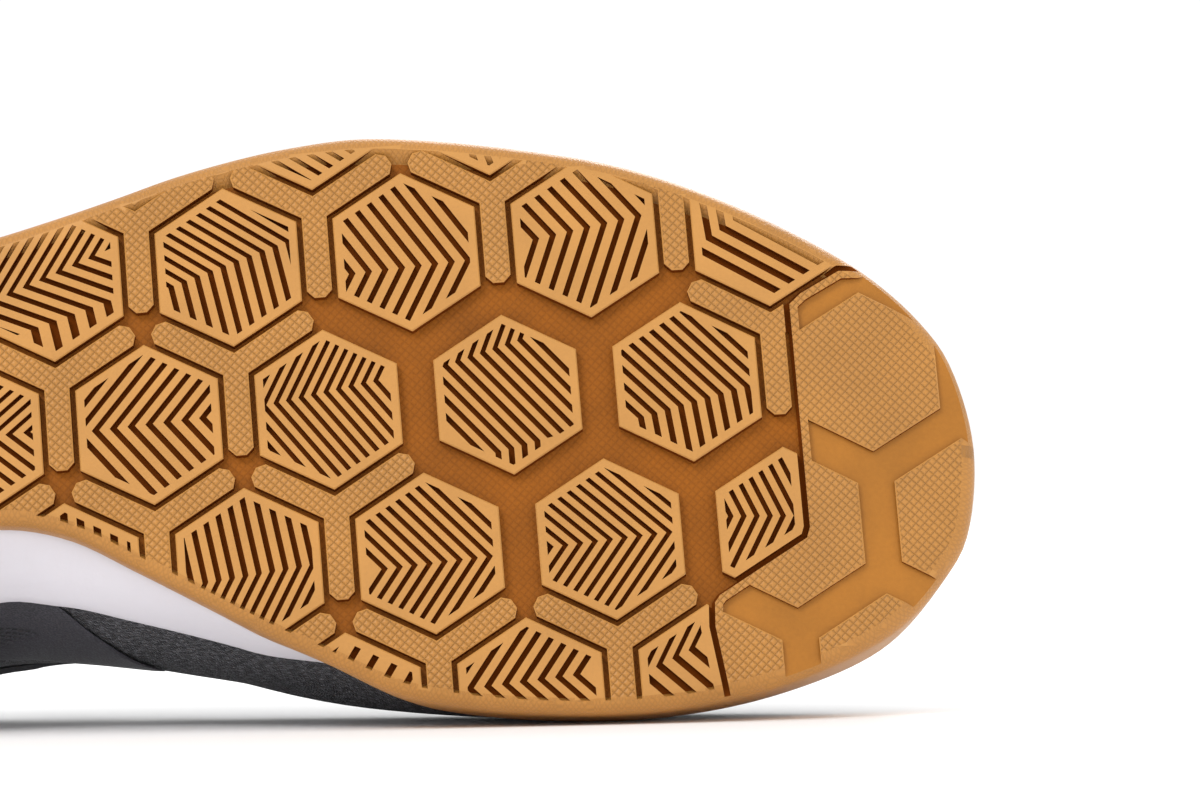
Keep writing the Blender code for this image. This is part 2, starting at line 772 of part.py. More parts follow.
def make_quarter_film():
    """Smooth film round the heel and along both quarters."""
    last = FILM_TOP["foot"][-1]
    stations = [-s for s in reversed(side_stations()) if 0 < s <= last]
    stations += [s for s in side_stations() if s <= last]

    def point_at(u, row):
        top = smooth_value(FILM_TOP, "foot", "height", abs(u))
        v = blend(FILM_BOTTOM, top, row / FILM_ROWS)
        return off_upper(u, v, GAP + FILM_THICKNESS)

    return shell("quarter_film", "film", stations, FILM_ROWS, point_at, FILM_THICKNESS)


def throat_stations():
    """Stations round the throat, from the lateral corner past its front to the medial corner."""
    side = [s for s in side_stations() if s >= EYESTAY_FIRST]
    return side + [2 - s for s in reversed(side[:-1])]


def make_eyestay():
    """Band round the throat, with punched eyelets."""

    def point_at(u, row):
        distance = EYESTAY_MARGIN + EYESTAY_WIDTH * (1 - row / EYESTAY_ROWS)
        return off_upper(u, from_rim(u, distance), EYESTAY_GAP + EYESTAY_THICKNESS)

    return shell("eyestay", "film", throat_stations(), EYESTAY_ROWS, point_at, EYESTAY_THICKNESS)


def eyelet_stations():
    """Shares of the way round at which the eyelets lie, from the toe end up."""
    return [blend(EYELET_TOE_END, EYELET_TOP_END, k / (EYELET_ROWS - 1)) for k in range(EYELET_ROWS)]


def punch_eyelets(*pieces):
    """Punch the eyelets through the pieces, straight through their walls."""
    bm = bmesh.new()
    for s in eyelet_stations():
        for u in (s, -s):
            v = from_rim(u, EYELET_FROM_RIM)
            centre = upper_point(u, v)
            turn = Vector((0, 0, 1)).rotation_difference(upper_normal(u, v)).to_matrix().to_4x4()
            bmesh.ops.create_cone(
                bm, cap_ends=True, segments=EYELET_SIDES, radius1=EYELET_DIAMETER / 2,
                radius2=EYELET_DIAMETER / 2, depth=4 * (UPPER_WALL + EYESTAY_THICKNESS),
                matrix=Matrix.Translation(centre) @ turn)
    lift(bm)
    cutter = make_object("eyelet_cutter", bm)
    for piece in pieces:
        holes = piece.modifiers.new("eyelets", "BOOLEAN")
        holes.operation = "DIFFERENCE"
        holes.solver = "EXACT"
        holes.object = cutter


def throat_point(s, q):
    """A point across the throat between the two rims: q is -1 on the lateral rim, 1 on the medial."""
    lateral, medial = rim_point(-s), rim_point(s)
    point = lateral.lerp(medial, (q + 1) / 2)
    width = clamp((medial - lateral).length / COLLAR_HALF)
    point.z += TONGUE_ARCH * width * (1 - q * q)
    return point


def make_tongue():
    """Padded tongue under the throat, with a flap above the collar."""
    below = UPPER_WALL + TONGUE_CLEARANCE
    rows = [TONGUE_FIRST] + [s for s in side_stations() if s >= TONGUE_FIRST]
    bm = bmesh.new()

    def section(s):
        # The underlap runs out towards the top, where the flap comes up between the corners.
        under = TONGUE_UNDERLAP * clamp((s - TONGUE_FIRST) / TONGUE_FADE, TONGUE_LEAST)
        points = [off_upper(-s, from_rim(-s, under * m), -below) for m in UNDERLAP_SHARES]
        for q in ACROSS_SHARES:
            edge = off_upper(math.copysign(s, q), 1, -below) - rim_point(math.copysign(s, q))
            points.append(throat_point(s, q) + edge.lerp(Vector((0, 0, -below)), 1 - abs(q)))
        points += [off_upper(s, from_rim(s, under * m), -below) for m in UNDERLAP_SHARES[::-1]]
        return points

    sections = [section(s) for s in reversed(rows)]
    last = sections[-1]
    middle = sum(last, Vector()) / len(last)
    rise = Vector((-math.sin(FLAP_LEAN), 0, math.cos(FLAP_LEAN)))
    for share, width in zip(FLAP["up"], FLAP["width"]):
        moved = []
        for point in last:
            inwards = Vector((point.x, blend(middle.y, point.y, width), point.z))
            moved.append(inwards + rise * TONGUE_FLAP * share)
        sections.append(moved)
    grid = [[bm.verts.new(point) for point in line] for line in sections]
    for near, far in zip(grid, grid[1:]):
        for k in range(len(near) - 1):
            bm.faces.new((near[k], near[k + 1], far[k + 1], far[k]))
    bmesh.ops.remove_doubles(bm, verts=bm.verts, dist=2e-5)
    bmesh.ops.dissolve_degenerate(bm, edges=bm.edges, dist=1e-6)
    lift(bm)
    tongue = make_object("tongue", bm, "lining")
    aim_out(tongue)
    wall = tongue.modifiers.new("padding", "SOLIDIFY")
    wall.thickness = TONGUE_THICKNESS
    wall.offset = -1
    wall.use_even_offset = False
    return tongue


def lace_crossing(start, end):
    """A flat lace from the lateral or medial eyelet at one station to the other side's at the next."""
    side = math.copysign(1, start)
    above = EYESTAY_GAP + EYESTAY_THICKNESS + LACE_LIFT + LACE_THICKNESS / 2
    points = [off_upper(start, from_rim(start, EYELET_FROM_RIM), above)]
    for share, across in zip(LACE_PATH["share"], LACE_PATH["across"]):
        s = blend(abs(start), abs(end), share)
        points.append(throat_point(s, side * across) + Vector((0, 0, above)))
    points.append(off_upper(end, from_rim(end, EYELET_FROM_RIM), above))
    bm = bmesh.new()
    loops = []
    for k, point in enumerate(points):
        ahead = (points[min(k + 1, len(points) - 1)] - points[max(k - 1, 0)]).normalized()
        along = Vector((1, 0, LACE_SLOPE))
        across = (along - ahead * along.dot(ahead)).normalized()
        up = ahead.cross(across).normalized()
        turns = [2 * math.pi * n / LACE_SIDES for n in range(LACE_SIDES)]
        loops.append([point + across * (LACE_WIDTH / 2) * math.cos(a) + up * (LACE_THICKNESS / 2) * math.sin(a)
                      for a in turns])
    rings = skin_loops(bm, loops)
    bm.faces.new(rings[0][::-1])
    bm.faces.new(rings[-1])
    lift(bm)
    return bm


def make_laces():
    """All the crossings above the tongue, joined in one solid."""
    spots = eyelet_stations()
    pairs = [(spots[0], -spots[0])]
    for low, high in zip(spots, spots[1:]):
        pairs += [(low, -high), (-low, high)]
    laces = make_object("laces", lace_crossing(*pairs[0]), "lace")
    for start, end in pairs[1:]:
        crossing = make_object("lace_guide", lace_crossing(start, end))
        boolean(laces, crossing, "UNION")
        bpy.data.objects.remove(crossing, do_unlink=True)
    return laces


def shade(made):
    made.data.shade_smooth()
    made.data.set_sharp_from_angle(angle=math.radians(35))


def solid_triangles(made):
    """The corners of each triangle of a piece's evaluated mesh."""
    graph = bpy.context.evaluated_depsgraph_get()
    mesh = made.evaluated_get(graph).to_mesh()
    mesh.calc_loop_triangles()
    return [tuple(mesh.vertices[k].co.copy() for k in triangle.vertices)
            for triangle in mesh.loop_triangles]


def centre_of_mass(pieces):
    """Where the shoe balances, from each piece's volume and density."""
    weight = 0.0
    moment = Vector()
    for made in pieces:
        density = FINISHES[made["finish"]][2]
        for a, b, c in solid_triangles(made):
            volume = a.dot(b.cross(c)) / 6
            weight += volume * density
            moment += volume * density * (a + b + c) / 4
    return moment / weight


def resting_face(pieces, balance):
    """The outward direction of the hull's face on the medial side that the shoe lies on."""
    hull = bmesh.new()
    for made in pieces:
        for triangle in solid_triangles(made):
            for corner in triangle:
                hull.verts.new(corner)
    bmesh.ops.remove_doubles(hull, verts=hull.verts, dist=1e-6)
    found = bmesh.ops.convex_hull(hull, input=hull.verts)
    faces = [item for item in found["geom"] if isinstance(item, bmesh.types.BMFace)]
    best = None
    for face in faces:
        normal = face.normal
        if normal.dot(face.calc_center_median() - balance) < 0:
            normal = -normal
        if normal.y < 0.5:
            continue
        a, b, c = (vert.co for vert in face.verts[:3])
        foot = balance + normal * (a - balance).dot(normal)
        inside = [(q - p).cross(foot - p).dot(normal) for p, q in ((a, b), (b, c), (c, a))]
        held = min(inside) >= 0 or max(inside) <= 0
        # It can also balance on the sole's wall alone: the face that leans on the upper is wanted.
        if held and (best is None or normal.z > best.z):
            best = normal.copy()
    hull.free()
    return best


def lay_down(pieces):
    """Lay the shoe on its medial side, its toe towards +X and its tread towards -Y."""
    balance = centre_of_mass(pieces)
    down = resting_face(pieces, balance)
    ahead = (Vector((1, 0, 0)) - down * down.x).normalized()
    aside = (-down).cross(ahead)
    turn = Matrix((ahead, aside, -down))
    points = [turn @ corner for made in pieces for triangle in solid_triangles(made)
              for corner in triangle]
    low = Vector([min(point[k] for point in points) for k in range(3)])
    high = Vector([max(point[k] for point in points) for k in range(3)])
    holder = bpy.data.objects.new("shoe", None)
    bpy.context.scene.collection.objects.link(holder)
    move = Matrix.Translation((-(low.x + high.x) / 2, -(low.y + high.y) / 2, -low.z))
    holder.matrix_world = move @ turn.to_4x4()
    for made in bpy.data.objects:
        if made is not holder:
            made.parent = holder
    return holder


def build():
    upper = make_upper()
    eyestay = make_eyestay()
    punch_eyelets(upper, eyestay)
    pieces = [
        make_outsole(), make_midsole(), make_insole(), upper, make_quarter_film(), eyestay,
        make_tongue(), make_laces(),
    ]
    for made in pieces:
        shade(made)
    lay_down(pieces)
    bpy.context.view_layer.update()


build()
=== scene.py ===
# %% [markdown]
# # An indoor soccer shoe, seen from below
#
# This notebook dresses a plain CAD model of a shoe: it gives the gum sole its grooves, the foam
# its skin and the upper its knit, film, stitches and laces. The CAD model comes first, as a fixed
# frame. Every new piece is made in the same metres, so nothing has to be fitted afterwards.

# %% Load the frame
import json
import math
from bisect import bisect_right

import bpy
from mathutils import Matrix, Vector
from mathutils.kdtree import KDTree

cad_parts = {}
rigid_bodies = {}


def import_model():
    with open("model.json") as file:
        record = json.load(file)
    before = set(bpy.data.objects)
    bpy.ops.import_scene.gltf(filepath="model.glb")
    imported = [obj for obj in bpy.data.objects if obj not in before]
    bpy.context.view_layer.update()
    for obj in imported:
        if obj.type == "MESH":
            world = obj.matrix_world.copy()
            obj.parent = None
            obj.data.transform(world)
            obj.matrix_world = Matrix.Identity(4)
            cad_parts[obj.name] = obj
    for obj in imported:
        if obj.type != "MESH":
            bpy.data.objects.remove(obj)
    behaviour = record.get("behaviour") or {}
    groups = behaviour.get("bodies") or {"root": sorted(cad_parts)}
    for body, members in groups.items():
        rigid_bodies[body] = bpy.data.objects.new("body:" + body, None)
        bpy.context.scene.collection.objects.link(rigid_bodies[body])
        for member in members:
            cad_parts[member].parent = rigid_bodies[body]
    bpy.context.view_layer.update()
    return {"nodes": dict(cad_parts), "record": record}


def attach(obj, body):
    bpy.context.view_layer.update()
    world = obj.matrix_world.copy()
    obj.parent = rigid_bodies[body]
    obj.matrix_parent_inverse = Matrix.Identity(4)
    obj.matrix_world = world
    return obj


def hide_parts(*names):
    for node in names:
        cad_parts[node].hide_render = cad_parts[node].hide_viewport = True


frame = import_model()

print("CAD nodes:", sorted(frame["nodes"]))

# %% [markdown]
# The shoe lies on its medial side, but it is far easier to model it standing, with X from the heel
# to the toe, +Y to the medial side and Z up from the tread. The record's two mounts lie on the
# tread, so together they say how the standing shoe was laid down. From them comes one matrix, and
# every finished piece goes through it.

# %% From the standing shoe to the lying one
FORE_MOUNT = Vector((0.1808, -0.0043, 0))     # where that mount lies on the standing shoe
spots = {mount["name"]: mount for mount in frame["record"]["mounts"]}
fore_spot = Vector(spots["tread_forefoot"]["pos_m"])
shoe_x = (fore_spot - Vector(spots["tread_heel"]["pos_m"])).normalized()
shoe_z = -Vector(spots["tread_forefoot"]["axis"]).normalized()
shoe_y = shoe_z.cross(shoe_x).normalized()
shoe_z = shoe_x.cross(shoe_y)
turn = Matrix((shoe_x, shoe_y, shoe_z)).transposed()
LAID = Matrix.Translation(fore_spot - turn @ FORE_MOUNT) @ turn.to_4x4()
print("the toe points to", [round(k, 3) for k in shoe_x])

# %% [markdown]
# The camera looks almost straight at the tread, from a little over the floor. The photograph has
# hardly any perspective, so a long lens stands well back, and the roll brings the rows of lugs to
# the slope that they have in the photograph.

# %% Camera
LOOK_AT = Vector((0.22907, -0.00173, 0))      # on the standing shoe's tread
FROM_MEDIAL = math.radians(14.1)
ROLL = math.radians(1.28)
AWAY, LENS, SENSOR, CLIP = 1.185, 200, 36, 0.01
aim = LAID @ LOOK_AT
back = (turn @ Vector((0, math.sin(FROM_MEDIAL), -math.cos(FROM_MEDIAL)))).normalized()
camera_data = bpy.data.cameras.new("camera")
camera_data.lens = LENS
camera_data.sensor_width = SENSOR
camera_data.clip_start = CLIP
camera = bpy.data.objects.new("camera", camera_data)
bpy.context.scene.collection.objects.link(camera)
level = back.to_track_quat("Z", "Y")
camera.matrix_world = (Matrix.Translation(aim + back * AWAY) @ level.to_matrix().to_4x4()
                       @ Matrix.Rotation(-ROLL, 4, "Z"))
bpy.context.scene.camera = camera
print("camera at", [round(k, 3) for k in camera.matrix_world.translation])

# %% [markdown]
# A product photograph on white is lit from all round. The world gives the even light, and three
# big area lamps give it a direction: one above on the camera's side, one low in front, and one
# behind that picks out the far side in the other views.

# %% Light and floor
def deselect():
    """Nothing is selected, and nothing is in edit mode."""
    if bpy.context.object and bpy.context.object.mode != "OBJECT":
        bpy.ops.object.mode_set(mode="OBJECT")
    bpy.ops.object.select_all(action="DESELECT")


LIT_POINT = Vector((0.03, 0, 0.05))           # what all the lamps point at
WORLD_STRENGTH, PAPER, FLOOR_SIZE = 1.05, 0.96, 80
LAMPS = {"key": ((-0.9, -1.3, 1.5), 0.8, 14), "front": ((0.9, -1.6, 0.5), 0.9, 2),
         "back": ((0.4, 1.5, 1.2), 1.0, 14)}


def area_lamp(name, spot, size, watts):
    data = bpy.data.lights.new(name, "AREA")
    data.shape = "DISK"
    data.size = size
    data.energy = watts
    lamp = bpy.data.objects.new(name, data)
    aimed = (Vector(spot) - LIT_POINT).to_track_quat("Z", "Y")
    lamp.matrix_world = Matrix.Translation(spot) @ aimed.to_matrix().to_4x4()
    bpy.context.scene.collection.objects.link(lamp)


world = bpy.data.worlds.new("studio")
bpy.context.scene.world = world
world.use_nodes = True
world.node_tree.nodes["Background"].inputs["Color"].default_value = (1, 1, 1, 1)
world.node_tree.nodes["Background"].inputs["Strength"].default_value = WORLD_STRENGTH
bpy.context.scene.view_settings.view_transform = "Standard"
for name, (spot, size, watts) in LAMPS.items():
    area_lamp(name, spot, size, watts)

deselect()
bpy.ops.mesh.primitive_plane_add(size=FLOOR_SIZE)
floor = bpy.context.object
floor.name = "floor"
paper = bpy.data.materials.new("paper_floor")
paper.use_nodes = True
sheet = paper.node_tree.nodes["Principled BSDF"]
sheet.inputs["Base Color"].default_value = (PAPER, PAPER, PAPER, 1)
sheet.inputs["Roughness"].default_value = 0.8
floor.data.materials.append(paper)

# %% [markdown]
# The sizes of the shoe are the CAD model's own. A shoe has hardly a straight line, so its sizes are
# short tables: a row gives how the outline, the side of the sole or a rib of the upper is at one
# place, and a smooth curve runs between the rows.

# %% Sizes of the standing shoe, in metres
LENGTH, BALL_WIDTH, GAP = 0.295, 0.109, 0.0003
LUG_DEPTH, TREAD_BASE, EDGE_RADIUS = 0.0020, 0.0025, 0.0033
WRAP_WALL, WRAP_LEAN, LIP_HEIGHT = 0.0022, 0.0015, 0.0015
HEEL_STACK, FORE_STACK, ARCH_FLARE, FOOT_INSET = 0.0240, 0.0145, 0.0100, 0.0030
MIDSOLE_EDGE = 0.0012
TOE_SPRING, SPRING_START, SPRING_POWER = 0.0090, 0.66, 2.2
HEEL_KICK, KICK_END, KICK_POWER = 0.0025, 0.10, 2.0
UPPER_WALL, BACK_HEIGHT, COLLAR_HALF = 0.0022, 0.0860, 0.0355
WALL_SWELL, WALL_RISE, RIM_REACH, RIM_DROP = 0.0060, 0.0240, 0.0400, 0.0180
HEEL_TIP, TOE_TIP = -0.0275, 0.092


def table(columns, *rows):
    """A table with named columns."""
    return {name: [row[k] for row in rows] for k, name in enumerate(columns.split())}


OUTLINE = table(
    "along medial lateral",
    (0.010, 0.083, 0.133), (0.035, 0.179, 0.229), (0.080, 0.266, 0.317), (0.140, 0.308, 0.356),
    (0.200, 0.305, 0.360), (0.260, 0.252, 0.354), (0.310, 0.179, 0.354), (0.360, 0.119, 0.363),
    (0.410, 0.104, 0.379), (0.450, 0.131, 0.403), (0.490, 0.195, 0.431), (0.530, 0.263, 0.461),
    (0.570, 0.332, 0.483), (0.600, 0.377, 0.494), (0.640, 0.439, 0.500), (0.680, 0.470, 0.489),
    (0.740, 0.494, 0.459), (0.800, 0.500, 0.418), (0.860, 0.479, 0.350), (0.920, 0.426, 0.257),
    (0.950, 0.378, 0.196), (0.975, 0.308, 0.123), (0.990, 0.246, 0.054))
MIDDLE = table(
    "along side",
    (0.00, -0.0275), (0.10, -0.035), (0.20, -0.050), (0.30, -0.075), (0.40, -0.080),
    (0.50, -0.055), (0.60, -0.010), (0.66, 0.015), (0.80, 0.050), (1.00, 0.092))
SOLE_SIDE = table(
    "along stack flare_medial flare_lateral wrap tuck",
    (0.00, 1.00, 0.35, 0.35, 0.00, 0.0),
    (0.12, 1.00, 0.58, 0.42, 0.00, 0.0),
    (0.20, 1.00, 0.62, 0.45, 0.00, 0.0),
    (0.30, 0.94, 0.90, 0.52, 0.00, 0.0),
    (0.36, 0.82, 1.00, 0.62, 0.00, 0.0),
    (0.41, 0.65, 1.00, 0.72, 0.00, 0.0),
    (0.45, 0.50, 0.97, 0.65, 0.00, 0.0),
    (0.49, 0.36, 0.68, 0.50, 0.00, 0.0),
    (0.53, 0.24, 0.37, 0.33, 0.30, 0.0),
    (0.56, 0.15, 0.16, 0.20, 0.32, 0.0),
    (0.59, 0.08, 0.05, 0.07, 0.44, 0.5),
    (0.62, 0.04, 0.00, 0.00, 0.65, 1.0),
    (0.64, 0.02, 0.00, 0.00, 0.85, 1.0),
    (0.66, 0.01, 0.00, 0.00, 1.04, 1.0),
    (0.70, 0.00, 0.00, 0.00, 1.12, 1.0),
    (0.85, 0.00, 0.00, 0.00, 1.18, 1.0),
    (0.94, 0.00, 0.00, 0.00, 1.40, 1.0),
    (1.00, 0.00, 0.00, 0.00, 1.60, 1.0))
RIBS = table(
    "foot rim_along rim_half rim_up swell rise reach drop",
    (0.00, 0.034, 0.00, 1.000, 0.60, 1.00, 0.00, 1.00),
    (0.07, 0.042, 0.45, 0.985, 0.50, 1.00, 0.00, 1.00),
    (0.14, 0.072, 0.76, 0.900, 0.00, 0.65, 0.00, 0.90),
    (0.22, 0.145, 0.93, 0.790, -0.10, 0.45, 0.02, 0.75),
    (0.30, 0.225, 1.00, 0.755, 0.10, 0.45, 0.03, 0.70),
    (0.38, 0.305, 0.95, 0.830, 0.90, 0.75, 0.06, 0.80),
    (0.45, 0.365, 0.76, 0.970, 1.20, 0.90, 0.20, 0.80),
    (0.52, 0.420, 0.56, 0.975, 1.00, 1.00, 0.35, 0.50),
    (0.60, 0.480, 0.51, 0.915, 0.70, 1.00, 0.42, 0.38),
    (0.68, 0.540, 0.47, 0.845, 0.35, 1.00, 0.50, 0.35),
    (0.76, 0.595, 0.42, 0.785, 0.25, 1.05, 0.60, 0.30),
    (0.85, 0.640, 0.32, 0.740, 0.35, 1.10, 0.80, 0.35),
    (0.93, 0.658, 0.17, 0.725, 0.40, 1.15, 1.00, 0.50),
    (1.00, 0.663, 0.00, 0.720, 0.35, 1.20, 1.10, 0.55))
print("rows in the outline:", len(OUTLINE["along"]), "and in the ribs:", len(RIBS["foot"]))

# %% [markdown]
# These functions turn the tables into points. `outline_point` walks round the edge of the sole,
# with u from -1 at the toe round the lateral side to 0 at the heel and on to 1 at the toe again.
# `place` steps off that edge, `upper_point` climbs a rib of the upper, and `spring` lifts the heel
# and the toe at the very end, when a piece is settled into its place.

# %% Points on the shoe
def smooth_value(data, key, column, at):
    """The value of a column at a place between its rows, flat past the ends."""
    keys, values = data[key], data[column]
    if at <= keys[0]:
        return values[0]
    if at >= keys[-1]:
        return values[-1]
    k = bisect_right(keys, at) - 1
    span = keys[k + 1] - keys[k]
    share = (at - keys[k]) / span

    def slope(row):
        before, after = max(row - 1, 0), min(row + 1, len(keys) - 1)
        return (values[after] - values[before]) / (keys[after] - keys[before]) * span

    rise = values[k + 1] - values[k]
    bend = (slope(k) + slope(k + 1) - 2 * rise) * share
    return values[k] + share * (slope(k) + share * (3 * rise - 2 * slope(k) - slope(k + 1)) + share * bend)


def clamp(value, low=0.0, high=1.0):
    return max(low, min(high, value))


def mix(start, end, share):
    return start + (end - start) * share


def spring(x):
    toe = clamp((x / LENGTH - SPRING_START) / (1 - SPRING_START), 0, 2)
    heel = clamp((KICK_END - x / LENGTH) / KICK_END, 0, 2)
    return TOE_SPRING * toe ** SPRING_POWER + HEEL_KICK * heel ** KICK_POWER


CURVE_STEPS = 12


def outline_side(column, sign):
    """One side of the outline as points, with the way to each as a share of the whole side."""
    knots = [Vector((0, HEEL_TIP * BALL_WIDTH))]
    knots += [Vector((along * LENGTH, sign * side * BALL_WIDTH))
              for along, side in zip(OUTLINE["along"], OUTLINE[column])]
    knots.append(Vector((LENGTH, TOE_TIP * BALL_WIDTH)))
    other = {"medial": "lateral", "lateral": "medial"}[column]
    before = Vector((knots[1].x, -sign * OUTLINE[other][0] * BALL_WIDTH))
    after = Vector((knots[-2].x, -sign * OUTLINE[other][-1] * BALL_WIDTH))
    knots = [before] + knots + [after]
    points = []
    for a, b, c, d in zip(knots, knots[1:], knots[2:], knots[3:]):
        ta, tb = 0.0, math.sqrt((b - a).length)
        tc = tb + math.sqrt((c - b).length)
        td = tc + math.sqrt((d - c).length)
        for step in range(CURVE_STEPS):
            t = mix(tb, tc, step / CURVE_STEPS)
            ab, bc = a.lerp(b, (t - ta) / (tb - ta)), b.lerp(c, (t - tb) / (tc - tb))
            cd = c.lerp(d, (t - tc) / (td - tc))
            abc, bcd = ab.lerp(bc, (t - ta) / (tc - ta)), bc.lerp(cd, (t - tb) / (td - tb))
            points.append(abc.lerp(bcd, (t - tb) / (tc - tb)))
    points.append(knots[-2])
    ways = [0.0]
    for a, b in zip(points, points[1:]):
        ways.append(ways[-1] + (b - a).length)
    return points, [way / ways[-1] for way in ways]


SIDES = {1: outline_side("medial", 1), -1: outline_side("lateral", -1)}
NORMAL_STEP, CLIMB_STEP = 0.006, 0.01


def once_round(u):
    """The same place with u between -1 and 1."""
    return (u + 1) % 2 - 1


def outline_point(u):
    u = once_round(u)
    points, ways = SIDES[1 if u >= 0 else -1]
    s = abs(u)
    k = min(bisect_right(ways, s), len(ways) - 1)
    return points[k - 1].lerp(points[k], (s - ways[k - 1]) / (ways[k] - ways[k - 1]))


def outward(u):
    along = outline_point(u + NORMAL_STEP) - outline_point(u - NORMAL_STEP)
    return Vector((-along.y, along.x)).normalized()


def place(u, offset, height):
    flat = outline_point(u) + outward(u) * offset
    return Vector((flat.x, flat.y, height))


def side_value(column, u):
    u = once_round(u)
    if column == "flare":
        column = "flare_medial" if u >= 0 else "flare_lateral"
    return smooth_value(SOLE_SIDE, "along", column, outline_point(u).x / LENGTH)


def stack(u):
    return FORE_STACK + (HEEL_STACK - FORE_STACK) * side_value("stack", u)


CUP_FLOOR = LUG_DEPTH + TREAD_BASE


def wrap_top(u):
    return max(side_value("wrap", u) * stack(u), CUP_FLOOR + LIP_HEIGHT)


def tuck(u):
    return clamp(side_value("tuck", u))


def cup_offset(u):
    return -WRAP_WALL - WRAP_LEAN * tuck(u)


def midsole_edge(u):
    return mix(ARCH_FLARE * side_value("flare", u), cup_offset(u) - GAP, tuck(u))


def foot_offset(u):
    return midsole_edge(u) - FOOT_INSET * (1 - tuck(u))


def rib_value(column, u):
    return smooth_value(RIBS, "foot", column, abs(u))


def middle_line(x):
    return smooth_value(MIDDLE, "along", "side", x / LENGTH) * BALL_WIDTH


def rim_point(u):
    u = once_round(u)
    along = rib_value("rim_along", u)
    middle = smooth_value(MIDDLE, "along", "side", along) * BALL_WIDTH
    half, height = COLLAR_HALF * rib_value("rim_half", u), BACK_HEIGHT * rib_value("rim_up", u)
    return Vector((along * LENGTH, middle + math.copysign(half, u), height))


RIB_CACHE = {}


def rib(u):
    """The four points that shape one rib of the upper."""
    u = once_round(u)
    key = round(u, 7)
    if key not in RIB_CACHE:
        out = outward(u).to_3d()
        foot = place(u, foot_offset(u), stack(u) + GAP)
        rim = rim_point(u)
        low = foot + out * WALL_SWELL * rib_value("swell", u)
        low.z += WALL_RISE * rib_value("rise", u)
        high = rim + out * RIM_REACH * rib_value("reach", u)
        high.z -= RIM_DROP * rib_value("drop", u)
        RIB_CACHE[key] = (foot, low, high, rim)
    return RIB_CACHE[key]


def upper_point(u, v):
    foot, low, high, rim = rib(u)
    w = 1 - v
    return w ** 3 * foot + 3 * w * w * v * low + 3 * w * v * v * high + v ** 3 * rim


def upper_normal(u, v):
    across = upper_point(u + NORMAL_STEP, v) - upper_point(u - NORMAL_STEP, v)
    upward = upper_point(u, min(v + CLIMB_STEP, 1)) - upper_point(u, max(v - CLIMB_STEP, 0))
    return upward.cross(across).normalized()


def off_upper(u, v, distance):
    return upper_point(u, v) + upper_normal(u, v) * distance


def from_rim(u, distance):
    v, way = 1.0, 0.0
    while way < distance and v > CLIMB_STEP:
        way += (upper_point(u, v) - upper_point(u, v - CLIMB_STEP)).length
        v -= CLIMB_STEP
    return v


print("ball width:", round(outline_point(0.66).y - outline_point(-0.66).y, 4))

# %% [markdown]
# Two helpers do most of the work. `mould_sheet` adds a grid, the plainest primitive, and moves each
# of its vertices to the place that a function gives: this is how a skin is pulled over a shoe last.
# `settle` finishes a piece: it keeps where every vertex was on the standing shoe in an attribute,
# for the materials to read, then lifts the toe and the heel and lays the piece down.

# %% Helpers for pieces
def take_up(piece):
    """Make a piece the only one selected, and the active one."""
    deselect()
    piece.select_set(True)
    bpy.context.view_layer.objects.active = piece


def edit(piece, select="NOTHING"):
    """Open a piece in edit mode with everything or nothing selected."""
    take_up(piece)
    bpy.ops.object.mode_set(mode="EDIT")
    bpy.ops.mesh.select_mode(type="VERT")
    bpy.ops.mesh.select_all(action="SELECT" if select == "ALL" else "DESELECT")


def leave():
    bpy.ops.object.mode_set(mode="OBJECT")


def pick_faces(piece, wanted):
    """Open a piece in edit mode with only the wanted faces selected."""
    edit(piece)
    bpy.ops.mesh.select_mode(type="FACE")
    leave()
    for face in piece.data.polygons:
        face.select = wanted(face)
    bpy.ops.object.mode_set(mode="EDIT")


def merge(piece, distance=1e-6):
    edit(piece, "ALL")
    bpy.ops.mesh.remove_doubles(threshold=distance)
    bpy.ops.mesh.normals_make_consistent(inside=False)
    leave()


def mould_sheet(name, across, up, point_at):
    """A grid whose vertices are moved to the points of a function of two shares."""
    deselect()
    bpy.ops.mesh.primitive_grid_add(x_subdivisions=across, y_subdivisions=up, size=2)
    piece = bpy.context.object
    piece.name = name
    for vert in piece.data.vertices:
        vert.co = point_at((vert.co.x + 1) / 2, (vert.co.y + 1) / 2)
    return piece


def apply_modifiers(piece):
    take_up(piece)
    for modifier in list(piece.modifiers):
        bpy.ops.object.modifier_apply(modifier=modifier.name)


def cut(piece, cutter, keep=False):
    """Take one closed piece out of another; the cutter goes unless it is wanted again."""
    modifier = piece.modifiers.new("cut", "BOOLEAN")
    modifier.operation = "DIFFERENCE"
    modifier.solver = "EXACT"
    modifier.object = cutter
    apply_modifiers(piece)
    if not keep:
        bpy.data.objects.remove(cutter, do_unlink=True)


def join(pieces, name):
    deselect()
    for piece in pieces:
        piece.select_set(True)
    bpy.context.view_layer.objects.active = pieces[0]
    if len(pieces) > 1:
        bpy.ops.object.join()
    pieces[0].name = name
    return pieces[0]


def dress(piece, *materials):
    """Give a piece its materials, the first one to all of its faces."""
    piece.data.materials.clear()
    for each in materials:
        piece.data.materials.append(each)


def settle(piece, replaced=(), degrees=35):
    """Keep the standing shoe's places in an attribute, then lay the piece down."""
    mesh = piece.data
    standing = mesh.attributes.new("standing", "FLOAT_VECTOR", "POINT")
    for k, vert in enumerate(mesh.vertices):
        standing.data[k].vector = vert.co
        vert.co.z += spring(vert.co.x)
    mesh.transform(LAID)
    mesh.update()
    take_up(piece)
    bpy.ops.object.shade_smooth_by_angle(angle=math.radians(degrees))
    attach(piece, "root")
    if replaced:
        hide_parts(*replaced)
    print(piece.name, len(mesh.polygons), "faces")
    return piece


print("helpers are ready")

# %% [markdown]
# Moulded rubber is never quite even. One node group gives every material of the shoe the same fine
# mottling, and another presses the small diamonds into the rubber that stops it from slipping. Both
# read the standing place of the surface, so that the patterns run along the shoe.

